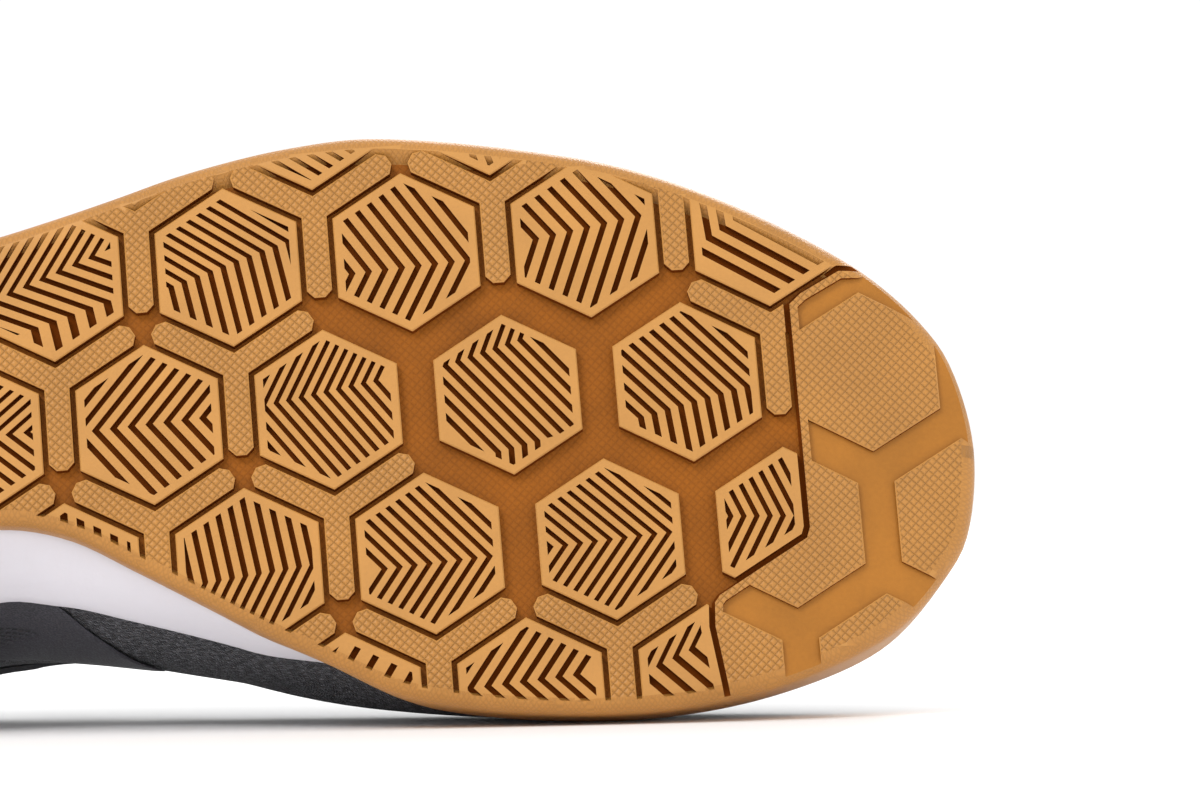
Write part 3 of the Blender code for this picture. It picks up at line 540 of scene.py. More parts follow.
# %% Node groups: mottling and diamonds
def new_group(name, inputs, outputs):
    tree = bpy.data.node_groups.new(name, "ShaderNodeTree")
    for title, kind, value in inputs:
        socket = tree.interface.new_socket(title, in_out="INPUT", socket_type=kind)
        if value is not None:
            socket.default_value = value
    for title, kind in outputs:
        tree.interface.new_socket(title, in_out="OUTPUT", socket_type=kind)
    return tree, tree.nodes.new("NodeGroupInput"), tree.nodes.new("NodeGroupOutput")


def node(tree, kind, **settings):
    made = tree.nodes.new(kind)
    for key, value in settings.items():
        setattr(made, key, value)
    return made


def feed(tree, value, socket):
    """Link another node's output to a socket, or set the socket's own value."""
    if hasattr(value, "is_linked"):
        tree.links.new(value, socket)
    else:
        socket.default_value = value


def maths(tree, operation, *values, limit=False):
    made = node(tree, "ShaderNodeMath", operation=operation, use_clamp=limit)
    for k, value in enumerate(values):
        feed(tree, value, made.inputs[k])
    return made.outputs[0]


def scaled(tree, colour, factor):
    made = node(tree, "ShaderNodeVectorMath", operation="SCALE")
    feed(tree, colour, made.inputs[0])
    feed(tree, factor, made.inputs["Scale"])
    return made.outputs[0]


def noise(tree, where, scale, detail=2.0):
    made = node(tree, "ShaderNodeTexNoise")
    made.inputs["Detail"].default_value = detail
    feed(tree, where, made.inputs["Vector"])
    feed(tree, scale, made.inputs["Scale"])
    return made.outputs["Fac"]


def axes(tree, where):
    made = node(tree, "ShaderNodeSeparateXYZ")
    tree.links.new(where, made.inputs[0])
    return made.outputs["X"], made.outputs["Y"]


FINER, FINE_SHARE = 22.0, 0.35                # the grain's scale and weight beside the slow mottling


def mottling():
    """Soft, slow changes of tone with a finer grain in them."""
    tree, take, give = new_group(
        "mottling",
        [("Place", "NodeSocketVector", None), ("Scale", "NodeSocketFloat", 60.0),
         ("Amount", "NodeSocketFloat", 0.1), ("Colour", "NodeSocketColor", (1, 1, 1, 1))],
        [("Colour", "NodeSocketColor"), ("Grain", "NodeSocketFloat")])
    where, scale = take.outputs["Place"], take.outputs["Scale"]
    slow = noise(tree, where, scale, 3.0)
    fine = noise(tree, where, maths(tree, "MULTIPLY", scale, FINER))
    both = maths(tree, "MULTIPLY_ADD", fine, FINE_SHARE, slow)
    tone = maths(tree, "MULTIPLY_ADD", maths(tree, "SUBTRACT", both, (1 + FINE_SHARE) / 2),
                 take.outputs["Amount"], 1.0)
    tree.links.new(scaled(tree, take.outputs["Colour"], tone), give.inputs["Colour"])
    tree.links.new(fine, give.inputs["Grain"])
    return tree


def diamonds():
    """Rows of small raised diamonds; Height is 1 on top of each and 0 between them."""
    tree, take, give = new_group(
        "diamonds",
        [("Place", "NodeSocketVector", None), ("Pitch", "NodeSocketFloat", 0.0011)],
        [("Height", "NodeSocketFloat")])
    x, y = axes(tree, take.outputs["Place"])
    waves = []
    for sign in (1.0, -1.0):
        slanted = maths(tree, "MULTIPLY_ADD", y, sign, x)
        turns = maths(tree, "DIVIDE", maths(tree, "MULTIPLY", slanted, math.pi), take.outputs["Pitch"])
        waves.append(maths(tree, "ABSOLUTE", maths(tree, "SINE", turns)))
    low = maths(tree, "MINIMUM", waves[0], waves[1])
    tree.links.new(maths(tree, "POWER", low, 0.6), give.inputs["Height"])
    return tree


MOTTLING, DIAMONDS = mottling(), diamonds()
print("node groups:", [tree.name for tree in bpy.data.node_groups])

# %% [markdown]
# The gum rubber is one compound, but it looks different where it is thick, pressed with diamonds or
# deep down in a groove. So it is a small family of materials. The darker tones of the valley floor,
# the groove floors and the toe's valleys are partly painted shade for those recesses. All of them
# share one builder, and each has its own tone and the depth of its diamonds.

# %% Gum rubber
def start_material(name, roughness):
    made = bpy.data.materials.new(name)
    made.use_nodes = True
    tree = made.node_tree
    shader = tree.nodes["Principled BSDF"]
    shader.inputs["Roughness"].default_value = roughness
    place_node = node(tree, "ShaderNodeAttribute", attribute_name="standing")
    return made, tree, shader, place_node.outputs["Vector"]


def use_group(tree, group, **values):
    made = node(tree, "ShaderNodeGroup", node_tree=group)
    for key, value in values.items():
        feed(tree, value, made.inputs[key])
    return made


def bump(tree, shader, height, distance, strength=1.0):
    made = node(tree, "ShaderNodeBump")
    made.inputs["Distance"].default_value = distance
    made.inputs["Strength"].default_value = strength
    tree.links.new(height, made.inputs["Height"])
    tree.links.new(made.outputs["Normal"], shader.inputs["Normal"])


# The second value is painted shade: the share of the colour that is left between the raised diamonds.
RUBBER_GRAIN, SHADE_BETWEEN_DIAMONDS = 0.00006, 0.80   # how deep, and how bright between the diamonds


def gum(name, colour, press=0.0, pitch=0.0016, roughness=0.42, amount=0.35, on_wall=False, shine=0.4):
    made, tree, shader, spot = start_material(name, roughness)
    shader.inputs["Specular IOR Level"].default_value = shine
    mottle = use_group(tree, MOTTLING, Place=spot, Scale=70.0, Amount=amount, Colour=(*colour, 1))
    base = mottle.outputs["Colour"]
    if press:
        where = node(tree, "ShaderNodeUVMap", uv_map="wall").outputs["UV"] if on_wall else spot
        height = use_group(tree, DIAMONDS, Place=where, Pitch=pitch).outputs["Height"]
        # Painted shade: between the raised diamonds the colour is darkened, as well as bumped.
        low = node(tree, "ShaderNodeMapRange")
        low.inputs["To Min"].default_value = SHADE_BETWEEN_DIAMONDS
        tree.links.new(height, low.inputs["Value"])
        base = scaled(tree, base, low.outputs["Result"])
        bump(tree, shader, height, press)
    else:
        bump(tree, shader, mottle.outputs["Grain"], RUBBER_GRAIN, 0.6)
    tree.links.new(base, shader.inputs["Base Color"])
    return made


GUM_TOP = gum("gum_top", (0.50, 0.232, 0.052))
GUM_DIAMOND = gum("gum_diamond", (0.47, 0.205, 0.038), press=0.00025)
# Painted shade: the next three tones (valley floor, groove floors, toe valleys) are darker than the tops
# partly to stand in for the shade in those recesses, the groove floors most of all.
GUM_FLOOR_PAINTED_SHADE = gum("gum_floor_painted_shade", (0.30, 0.090, 0.006), press=0.00006, amount=0.9, roughness=0.6, shine=0.15)
GUM_GROOVE_PAINTED_SHADE = gum("gum_groove_painted_shade", (0.155, 0.034, 0.002), roughness=0.8, shine=0.05)
GUM_VALLEY_PAINTED_SHADE = gum("gum_toe_valley_painted_shade", (0.38, 0.145, 0.016), roughness=0.5, amount=0.5, shine=0.25)
GUM_WALL = gum("gum_wall", (0.48, 0.212, 0.042), press=0.00004, pitch=0.0010, on_wall=True)
print("gum materials:", [m.name for m in bpy.data.materials if m.name.startswith("gum_")])

# %% [markdown]
# The body of the outsole is a rubber cup. Seen in section, its lower edge is round, its wall wraps
# up the side round the forefoot and toe, and a low lip holds the midsole elsewhere. A sheet with
# one row for each level of that section goes round the outline; the two ends of the sheet meet at
# the toe, and filling its two open rims closes it. Cuts across the sheet let the toe spring bend it.

# %% Body of the outsole
STEPS_ROUND, EDGE_STEPS, WALL_STEPS = 300, 6, 4
BELLY_IN, BELLY_UP, SOFT = 0.4, 0.7, 0.0005   # the wall's middle, and the round along its top
BEND_STEP, BEND_START = 0.0065, 0.37          # the second one is a share of the first
HALVINGS = 16


def on_height(u, height):
    low, high = 0.0, 0.5
    for _ in range(HALVINGS):
        middle = (low + high) / 2
        low, high = (middle, high) if upper_point(u, middle).z < height else (low, middle)
    return low


def cup_section(u):
    """The section of the cup at one place, from the tread's edge up, over and down inside."""
    points = []
    for k in range(EDGE_STEPS + 1):
        a = math.pi / 2 * k / EDGE_STEPS
        points.append(place(u, -EDGE_RADIUS * (1 - math.sin(a)), EDGE_RADIUS * (1 - math.cos(a))))
    top, cup, wrapped = wrap_top(u), cup_offset(u), tuck(u)
    over = wrapped if top > stack(u) else 0.0
    hug_in = upper_point(u, on_height(u, top)) + outward(u).to_3d() * GAP
    hug_out = hug_in + outward(u).to_3d() * WRAP_WALL
    inside = place(u, cup, top).lerp(hug_in, over)
    outside = place(u, 0, top).lerp(place(u, -WRAP_LEAN, top), wrapped).lerp(hug_out, over)
    inside.z = outside.z = top
    belly = place(u, -BELLY_IN * WRAP_LEAN * wrapped, mix(EDGE_RADIUS, min(top, stack(u)), BELLY_UP))
    base = points[-1]
    for k in range(1, WALL_STEPS + 1):
        share = k / WALL_STEPS
        low, high = base.lerp(belly, share), belly.lerp(outside, share)
        points.append(low.lerp(high, share))
    inwards = (inside - outside).normalized()
    points[-1] = outside - Vector((0, 0, SOFT))
    return points + [outside + inwards * SOFT, inside - inwards * SOFT, inside - Vector((0, 0, SOFT)),
                     place(u, cup, min(top - LIP_HEIGHT / 2, stack(u))), place(u, cup, CUP_FLOOR)]


def fill_rims(piece):
    """Close every open rim of a piece with one face."""
    edit(piece)
    bpy.ops.mesh.select_non_manifold(extend=False)
    bpy.ops.mesh.fill_holes(sides=0)
    leave()


def cross_cuts(piece, everywhere=False):
    """Cut a piece across where the spring will bend it, or all over into small faces."""
    count = int(LENGTH / BEND_STEP)
    places = [((k + BEND_START) * BEND_STEP, 0) for k in range(count + 1)]
    if everywhere:
        places += [(k * BEND_STEP, 1) for k in range(-count // 4, count // 4)]
    else:
        places = [(x, 0) for x, _ in places if not KICK_END < x / LENGTH < SPRING_START]
    edit(piece)
    for spot, axis in places:
        bpy.ops.mesh.select_all(action="SELECT")
        square = Vector((1 - axis, axis, 0))
        bpy.ops.mesh.bisect(plane_co=square * spot, plane_no=square, threshold=1e-7)
    leave()


def closed_sheet(name, across, up, point_at, bent=False):
    """A sheet whose two ends meet and whose two rims are filled, so that it becomes solid."""
    piece = mould_sheet(name, across, up, point_at)
    merge(piece)
    fill_rims(piece)
    if bent:
        cross_cuts(piece)
    merge(piece)
    return piece


def ring_of(name, section, steps, bent=False):
    """A closed sheet with the same kind of section all round the shoe."""
    around = [section(2 * k / steps - 1) for k in range(steps)]
    last = len(around[0]) - 1
    return closed_sheet(name, steps, last, lambda s, t: around[round(s * steps) % steps][round(t * last)],
                        bent)


outsole = ring_of("gum_outsole", cup_section, STEPS_ROUND)
print("closed body:", len(outsole.data.polygons), "faces")

# %% [markdown]
# Each lug is a hexagon with a flat on its heel and toe sides. Between the lugs lie three-armed bars,
# and the ends of their arms leave star-shaped pockets. Both are modelled once in outline: a circle
# with six corners is a lug, and one with fifteen corners becomes a bar. Together they are what the
# valley does not take away.

# %% Guide of lugs and bars
HEX_PITCH, HEX_FLATS = 0.0320, 0.0255
BAR_WIDTH, BAR_END_GAP, BAR_CHAMFER = 0.0045, 0.0022, 0.0013
PATTERN_X, PATTERN_Y = 0.2128, -0.0043
FLEX_FROM, FLEX_TO, FLEX_LATERAL, FLEX_MEDIAL = 0.65, 0.87, -0.040, 0.010
TOE_VALLEY_DEPTH, TOE_GROOVE_WIDTH, TOE_RIM_WIDTH = 0.0010, 0.0011, 0.0014
TOE_PADS_FROM = 0.74
MOUTH = 0.00022              # the small round along every edge of a lug
TOE_GROOVE = table(
    "along side",
    (0.965, -0.240), (0.938, -0.217), (0.927, -0.217), (0.902, -0.181), (0.894, -0.162),
    (0.894, 0.216), (0.892, 0.231), (0.837, 0.317), (0.833, 0.331), (0.832, 0.372), (0.841, 0.560))


def lattice():
    row_step = HEX_PITCH * math.cos(math.radians(30))
    rows, columns = int(BALL_WIDTH / row_step) + 1, int(LENGTH / HEX_PITCH) + 2
    centres = []
    for row in range(-rows, rows + 1):
        for column in range(-columns, columns + 1):
            x = PATTERN_X + (column + 0.5 * (row % 2)) * HEX_PITCH
            y = PATTERN_Y + row * row_step
            if -HEX_PITCH < x < LENGTH + HEX_PITCH and abs(y) < BALL_WIDTH / 2 + HEX_PITCH:
                centres.append((x, y))
    return centres


def bar_corners(x, y):
    half, reach = BAR_WIDTH / 2, HEX_PITCH / math.sqrt(3) - BAR_END_GAP
    inner = half / math.cos(math.radians(30))
    corners, start = [], Vector((x, y))
    for turned in (90, 210, 330):
        a = math.radians(turned)
        ahead = Vector((math.cos(a), math.sin(a)))
        aside = Vector((-ahead.y, ahead.x))
        corners.append(start + ahead * (reach - BAR_CHAMFER) - aside * half)
        corners.append(start + ahead * reach - aside * (half - BAR_CHAMFER))
        corners.append(start + ahead * reach + aside * (half - BAR_CHAMFER))
        corners.append(start + ahead * (reach - BAR_CHAMFER) + aside * half)
        fork = math.radians(turned + 60)
        corners.append(start + inner * Vector((math.cos(fork), math.sin(fork))))
    return corners


def flat_face(corners, height):
    """A circle primitive whose corners are moved to an outline."""
    deselect()
    bpy.ops.mesh.primitive_circle_add(vertices=len(corners), fill_type="NGON", radius=0.01)
    piece = bpy.context.object
    for vert, corner in zip(piece.data.vertices, corners):
        vert.co = (corner[0], corner[1], height)
    return piece


def hex_face(x, y, height=0.0, flats=HEX_FLATS):
    deselect()
    bpy.ops.mesh.primitive_circle_add(vertices=6, fill_type="NGON", radius=flats / math.sqrt(3),
                                      location=(x, y, height))
    bpy.ops.object.transform_apply(location=True, rotation=False, scale=False)
    return bpy.context.object


def groove_x(y):
    return LENGTH * smooth_value(TOE_GROOVE, "side", "along", y / BALL_WIDTH)


BARS = []
guides, pads = [], []
for x, y in lattice():
    guides.append(hex_face(x, y, MOUTH))
    if x > TOE_PADS_FROM * LENGTH:
        pads.append(hex_face(x, y, MOUTH))
    bar_y = y + HEX_PITCH / math.sqrt(3)
    in_flex = FLEX_FROM < x / LENGTH < FLEX_TO and FLEX_LATERAL < y < FLEX_MEDIAL
    if not in_flex and x < groove_x(bar_y):
        corners = bar_corners(x, bar_y)
        BARS.append(corners)
        guides.append(flat_face(corners, MOUTH))
lug_guide, pad_guide = join(guides, "lug_guide"), join(pads, "pad_guide")


def open_mouths(piece, deep):
    """Make flat faces into closed prisms whose edges at the tread are rounded off."""
    edit(piece, "ALL")
    bpy.ops.mesh.normals_make_consistent(inside=False)
    bpy.ops.mesh.select_all(action="SELECT")
    bpy.ops.mesh.inset(thickness=MOUTH, use_even_offset=True)
    bpy.ops.transform.translate(value=(0, 0, -MOUTH))
    bpy.ops.mesh.extrude_region_move(TRANSFORM_OT_translate={"value": (0, 0, -LUG_DEPTH)})
    bpy.ops.mesh.select_all(action="DESELECT")
    bpy.ops.mesh.select_non_manifold(extend=False)
    bpy.ops.mesh.extrude_edges_move(TRANSFORM_OT_translate={"value": (0, 0, deep)})
    bpy.ops.mesh.select_all(action="DESELECT")
    bpy.ops.mesh.select_non_manifold(extend=False)
    bpy.ops.mesh.fill_holes(sides=0)
    bpy.ops.mesh.select_all(action="SELECT")
    bpy.ops.mesh.normals_make_consistent(inside=False)
    leave()


open_mouths(lug_guide, 3 * LUG_DEPTH)
open_mouths(pad_guide, 3 * LUG_DEPTH)
print("bars:", len(BARS), "guide faces:", len(lug_guide.data.polygons))

# %% [markdown]
# The lugs carry fine grooves in chevrons. On each lug the grooves cross a line at an even pitch and
# change direction there, and on some they bend once more. A row of this table gives that line, the
# pitch and the directions for one lug, in millimetres and degrees. The rows behind the waist repeat
# the same kinds, because the photograph ends there.

# %% Table of chevrons
CHEVRONS = table(
    "row column bend_x bend_y turn pitch width up down next_x next_y next_turn last",
    ("A", 3, -1.0, 3.0, -30, 3.2, 1.3, 125, 125, 0, 0, 0, None),
    ("A", 4, -6.6, 8.6, -8, 3.1, 1.2, 130, 36, 0, 0, 0, None),
    ("A", 5, -3.2, 9.2, 4, 2.6, 1.2, 75, 75, 0, 0, 0, None),
    ("B", 3, -7.3, 1.5, -20, 3.2, 1.35, -56, 25, 2.6, 6.7, -16, 80),
    ("B", 4, -0.9, -0.1, -17, 2.49, 1.05, 36, 80, 0, 0, 0, None),
    ("B", 5, -1.0, 2.9, -2, 2.98, 1.2, 57, 120, 0, 0, 0, None),
    ("B", 6, 0.6, -1.9, -9, 3.14, 1.2, 52, 112, 0, 0, 0, None),
    ("B", 7, -7.2, -0.2, -33, 3.1, 1.4, 85, 32.5, 0, 0, 0, None),
    ("C", 2, -9.0, 0.2, -2, 3.2, 1.3, -38, 42, 0, 0, 0, None),
    ("C", 3, -9.6, 0.3, -2, 3.2, 1.35, -48, 52, 0, 0, 0, None),
    ("C", 4, -4.7, -2.6, -8, 2.27, 1.0, -60.5, 54, 0, 0, 0, None),
    ("C", 5, -1.6, -8.6, -15, 2.35, 1.05, -66, 50.5, 0.2, 9.9, -12, 90),
    ("C", 6, -1.5, 4.4, -13, 2.48, 1.1, 47.6, 84, 0, 0, 0, None),
    ("D", 3, -0.2, -12.0, 32, 3.4, 1.6, 90, 90, 0, 0, 0, None),
    ("D", 4, 1.6, 1.1, -5, 2.4, 1.05, 81.5, 120, 0, 0, 0, None),
    ("D", 5, 2.5, 1.8, -2, 2.67, 1.15, 49, 127, 0, 0, 0, None),
    ("D", 6, 2.6, 0.0, -3, 2.65, 1.1, 44.5, 128, 0, 0, 0, None),
    ("D", 7, -3.4, -2.2, 3, 2.33, 1.0, 68, 120, 0, 0, 0, None),
    ("E", 4, 2.2, -12.0, 27, 3.6, 1.2, 125, 125, 0, 0, 0, None),
    ("E", 5, -1.4, -3.2, -3, 3.15, 1.35, -53, 46, 0, 0, 0, None),
    ("E", 6, -9.3, -4.3, -23, 3.25, 1.35, -60, 45, 0, 0, 0, None),
)
ROW_NAMES = "ABCDE"
BEHIND = (("B", 4), ("C", 3), ("D", 6), ("B", 5), ("C", 4), ("B", 6))
RIM_WIDTH = 0.0015
SLIVER = 7e-7                # faces smaller than this, in square metres, are left out


def chevron_of(x, y):
    """The row of the table for a lug, or None in the toe zone."""
    row_step = HEX_PITCH * math.cos(math.radians(30))
    row = round((y - PATTERN_Y) / row_step)
    column = math.floor((x - PATTERN_X) / HEX_PITCH + 0.51) + 5
    letter = ROW_NAMES[row + 2] if 0 <= row + 2 < len(ROW_NAMES) else None
    rows = list(zip(*CHEVRONS.values()))
    for entry in rows:
        if entry[0] == letter and entry[1] == column:
            return entry
    if column < 4:
        wanted = BEHIND[(column * 2 + row * 3) % len(BEHIND)]
        return next(entry for entry in rows if entry[:2] == wanted)
    return None


print("chevrons for", len(CHEVRONS["row"]), "lugs, pitch from", min(CHEVRONS["pitch"]), "mm")

# %% [markdown]
# A groove is made the way a mould maker would scribe it. The lug's face is inset by the rim, cut
# along its bend, and then cut by both edges of every groove. What lies between the grooves is
# deleted, and the strips that are left are deepened into cutters for the rubber.

# %% Cutters for the grooves
def heading(degrees):
    a = math.radians(degrees)
    return Vector((math.cos(a), math.sin(a), 0))


def crossing(point, direction, start, along):
    """How far along a line from start another line meets it."""
    away = point - start
    return (away.x * direction.y - away.y * direction.x) / (along.x * direction.y - along.y * direction.x)


def zone_of(piece, start, along, sign):
    """Keep one side of a line: sign is -1 for the side that the lateral rim lies on."""
    square = Vector((-along.y, along.x, 0))
    edit(piece, "ALL")
    bpy.ops.mesh.bisect(plane_co=start, plane_no=square, clear_inner=sign > 0, clear_outer=sign < 0,
                        threshold=1e-7)
    leave()


def strips_of(piece, marks, direction, pitch, width, share_of):
    """Cut a face by the edges of all grooves and keep the grooves."""
    square = Vector((-direction.y, direction.x, 0))
    edit(piece)
    for mark in marks:
        bpy.ops.mesh.select_all(action="SELECT")
        bpy.ops.mesh.bisect(plane_co=mark, plane_no=square, threshold=1e-7)
    leave()

    def between(face):
        way = share_of(face.center) / pitch
        return abs(way - round(way)) * pitch > width / 2 or face.area < SLIVER

    pick_faces(piece, between)
    bpy.ops.mesh.delete(type="FACE")
    leave()


def inset_hex(x, y):
    """A lug's face inside its rim."""
    return hex_face(x, y, 0.0, HEX_FLATS - 2 * RIM_WIDTH)


def scribe(x, y, entry):
    """The strips of one lug, as separate flat pieces for each direction."""
    centre = Vector((x, y, 0))
    (_, _, bend_x, bend_y, line_turn, pitch, width, up, down, next_x, next_y, next_turn, last) = entry
    pitch, width = pitch / 1000, width / 1000
    start = centre + Vector((bend_x, bend_y, 0)) / 1000
    along = heading(line_turn)
    count = int(HEX_PITCH / pitch) + 6
    ways = [(k + side * width / pitch / 2) * pitch for k in range(-count, count + 1) for side in (-1, 1)]
    made = []
    for degrees, sign in ((up, -1), (down, 1)):
        direction = heading(degrees)
        piece = inset_hex(x, y)
        zone_of(piece, start, along, sign)
        if last is not None and sign > 0:
            next_start = centre + Vector((next_x, next_y, 0)) / 1000
            zone_of(piece, next_start, heading(next_turn), -1)
        marks = [start + along * way for way in ways]
        strips_of(piece, marks, direction, pitch, width,
                  lambda p, d=direction: crossing(p, d, start, along))
        made.append(piece)
    if last is not None:
        direction, before = heading(last), heading(down)
        next_start = centre + Vector((next_x, next_y, 0)) / 1000
        next_along = heading(next_turn)
        piece = inset_hex(x, y)
        zone_of(piece, next_start, next_along, 1)
        marks = []
        for way in ways:
            on_first = start + along * way
            marks.append(next_start + next_along * crossing(on_first, before, next_start, next_along))

        def share_of(p):
            on_next = next_start + next_along * crossing(p, direction, next_start, next_along)
            return crossing(on_next, before, start, along)

        strips_of(piece, marks, direction, pitch, width, share_of)
        made.append(piece)
    return made


EDGE_TRIES, NEAR_ALONG = 60, 0.006


def over_rubber(x, y):
    """Whether a lug lies over the sole at all."""
    edge = [outline_point(k / EDGE_TRIES) for k in range(-EDGE_TRIES, EDGE_TRIES)]
    inside = any(abs(point.x - x) < NEAR_ALONG and abs(point.y) > abs(y) for point in edge)
    return inside or min((Vector((x, y)) - point).length for point in edge) < HEX_FLATS / 2


kept, scribed = [], 0
for x, y in lattice():
    entry = chevron_of(x, y)
    if entry and over_rubber(x, y) and x < groove_x(y) + HEX_PITCH / 2:
        kept += scribe(x, y, entry)
        scribed += 1
for piece in [piece for piece in kept if not len(piece.data.polygons)]:
    kept.remove(piece)
    bpy.data.objects.remove(piece, do_unlink=True)
groove_cutter = join(kept, "groove_cutter")
merge(groove_cutter, 2e-6)
print("scribed lugs:", scribed, "strip faces:", len(groove_cutter.data.polygons))

# %% [markdown]
# A groove parts the toe zone from the lugs, and a narrow rim runs along its toe side. Only what
# lies well behind that groove may be scribed, so the strips are trimmed with it first. Then the
# flat strips are deepened and cut out of the rubber together with the valleys.

# %% Cut the tread
def groove_path(aside):
    knots = [Vector((along * LENGTH, side * BALL_WIDTH))
             for along, side in zip(TOE_GROOVE["along"], TOE_GROOVE["side"])]
    moved = []
    for k, knot in enumerate(knots):
        before, after = knots[max(k - 1, 0)], knots[min(k + 1, len(knots) - 1)]
        into = (knot - before).normalized() if k else (after - knot).normalized()
        out = (after - knot).normalized() if k < len(knots) - 1 else into
        square_in, square_out = Vector((into.y, -into.x)), Vector((out.y, -out.x))
        mitre = (square_in + square_out).normalized()
        moved.append(knot + mitre * aside / mitre.dot(square_in))
    return moved


def deepen(piece, low, high):
    """Make flat faces into closed prisms between two heights."""
    edit(piece, "ALL")
    bpy.ops.transform.translate(value=(0, 0, low))
    bpy.ops.mesh.extrude_region_move(TRANSFORM_OT_translate={"value": (0, 0, high - low)})
    bpy.ops.mesh.select_all(action="SELECT")
    bpy.ops.mesh.normals_make_consistent(inside=False)
    leave()
    return piece


def plate(corners, low, high):
    """A closed slab over an outline."""
    return deepen(flat_face(corners, 0.0), low, high)


GROOVE_DEPTH = 0.0016
deepen(groove_cutter, -LUG_DEPTH / 2, GROOVE_DEPTH)
toe_side = groove_path(-RIM_WIDTH - TOE_GROOVE_WIDTH / 2)[::-1]
toe_side += [Vector((2 * LENGTH, -LENGTH)), Vector((2 * LENGTH, LENGTH))]
cut(groove_cutter, plate(toe_side, -4 * LUG_DEPTH, 4 * LUG_DEPTH))
cross_cuts(outsole)

FADE_LOW, FADE_HIGH, RING_OUT = 0.0012, 0.0040, 0.012


def ring_point(s, t):
    """The slanting inner wall of a ring round the tread, and its outside."""
    u = 2 * s - 1
    more = FADE_HIGH * (0.45 if u > 0 else 1.0) if abs(u) < 0.99 else FADE_HIGH * 0.7
    corners = ((-FADE_LOW, -LUG_DEPTH / 2), (-FADE_LOW - more, LUG_DEPTH * 1.1),
               (RING_OUT, LUG_DEPTH * 1.1), (RING_OUT, -LUG_DEPTH / 2))
    offset, height = corners[round(t * 4) % 4]
    return place(u, offset, height)


edge_ring = mould_sheet("edge_ring", STEPS_ROUND // 2, 4, ring_point)
merge(edge_ring)

behind = [Vector((-LENGTH, -LENGTH))] + groove_path(0) + [Vector((-LENGTH, LENGTH))]
front = groove_path(TOE_RIM_WIDTH + TOE_GROOVE_WIDTH / 2)[::-1]
front += [Vector((2 * LENGTH, -LENGTH)), Vector((2 * LENGTH, LENGTH))]
line = groove_path(-TOE_GROOVE_WIDTH / 2) + groove_path(TOE_GROOVE_WIDTH / 2)[::-1]
valley = plate(behind, -LUG_DEPTH / 2, LUG_DEPTH)
toe_valley = plate(front, -LUG_DEPTH / 2, TOE_VALLEY_DEPTH)
toe_line = plate(line, -LUG_DEPTH / 2, GROOVE_DEPTH)
cut(valley, lug_guide)
cut(toe_valley, pad_guide)
cut(valley, edge_ring, keep=True)
cut(groove_cutter, edge_ring)
for cutter in (valley, toe_valley, toe_line):
    cross_cuts(cutter)
    cut(outsole, cutter)
cross_cuts(outsole, everywhere=True)
cross_cuts(groove_cutter)
cut(outsole, groove_cutter)
merge(outsole, 1e-6)
print("tread:", len(outsole.data.polygons), "faces")

# %% [markdown]
# Now each face learns what it is: a groove's floor is dark, the valley floor lighter, both partly as
# painted shade for the recess, the tops of the bars and of the toe's pads carry diamonds, and the lugs
# stay smooth. The height and the place of a face say enough to tell them apart.

# %% Materials of the tread
def inside_of(corners, x, y):
    hit = False
    for a, b in zip(corners, corners[1:] + corners[:1]):
        if (a[1] > y) != (b[1] > y) and x < (b[0] - a[0]) * (y - a[1]) / (b[1] - a[1]) + a[0]:
            hit = not hit
    return hit


GUMS = [GUM_TOP, GUM_DIAMOND, GUM_FLOOR_PAINTED_SHADE, GUM_GROOVE_PAINTED_SHADE, GUM_VALLEY_PAINTED_SHADE, GUM_WALL]
TOP, DIAMOND, FLOOR, GROOVE, VALLEY, WALL = range(len(GUMS))
dress(outsole, *GUMS)
SAME_HEIGHT, FLAT, STEEP, TOP_TILT = 1e-5, 0.9, 0.3, 0.97


def tread_look(face):
    """Which of the gum materials a face of the tread takes."""
    x, y, z = face.center
    down = -face.normal.z
    if z > LUG_DEPTH * 1.03 or down < -0.1:
        return WALL
    if down > FLAT and abs(z - LUG_DEPTH) < SAME_HEIGHT:
        return FLOOR
    if down > FLAT and abs(z - TOE_VALLEY_DEPTH) < SAME_HEIGHT and x > groove_x(y):
        return VALLEY
    if down > FLAT and abs(z - GROOVE_DEPTH) < SAME_HEIGHT:
        return GROOVE
    if down > STEEP:
        if down < TOP_TILT:
            return WALL if z > MOUTH * 1.1 else TOP
        on_pad = x > groove_x(y) + TOE_RIM_WIDTH
        return DIAMOND if on_pad or any(inside_of(corners, x, y) for corners in BARS) else TOP
    return TOP if z < MOUTH else GROOVE


for face in outsole.data.polygons:
    face.material_index = tread_look(face)

# The wall's own map: the way round the outline and the height, both in metres.
near = KDTree(STEPS_ROUND)
ways = [0.0]
for k in range(STEPS_ROUND):
    a, b = outline_point(2 * k / STEPS_ROUND - 1), outline_point(2 * (k + 1) / STEPS_ROUND - 1)
    near.insert((a.x, a.y, 0), k)
    ways.append(ways[-1] + (b - a).length)
near.balance()
wall_map = outsole.data.uv_layers.new(name="wall")
for face in outsole.data.polygons:
    if face.material_index == WALL:
        for corner in face.loop_indices:
            spot = outsole.data.vertices[outsole.data.loops[corner].vertex_index].co
            _, k, _ = near.find((spot.x, spot.y, 0))
            wall_map.data[corner].uv = (ways[k], spot.z)
settle(outsole, ["outsole"], degrees=32)

# %% [markdown]
# The midsole is smooth moulded foam. It sits in the rubber cup, stands out over the arch and ends
# in a small round edge under the upper. The same kind of sheet goes round it, with more rows where
# the section bends.

# %% Midsole
MIDSOLE_ROUND, FOAM_STEPS, ROUND_STEPS, FOAM_IN = 240, 8, 4, 0.012


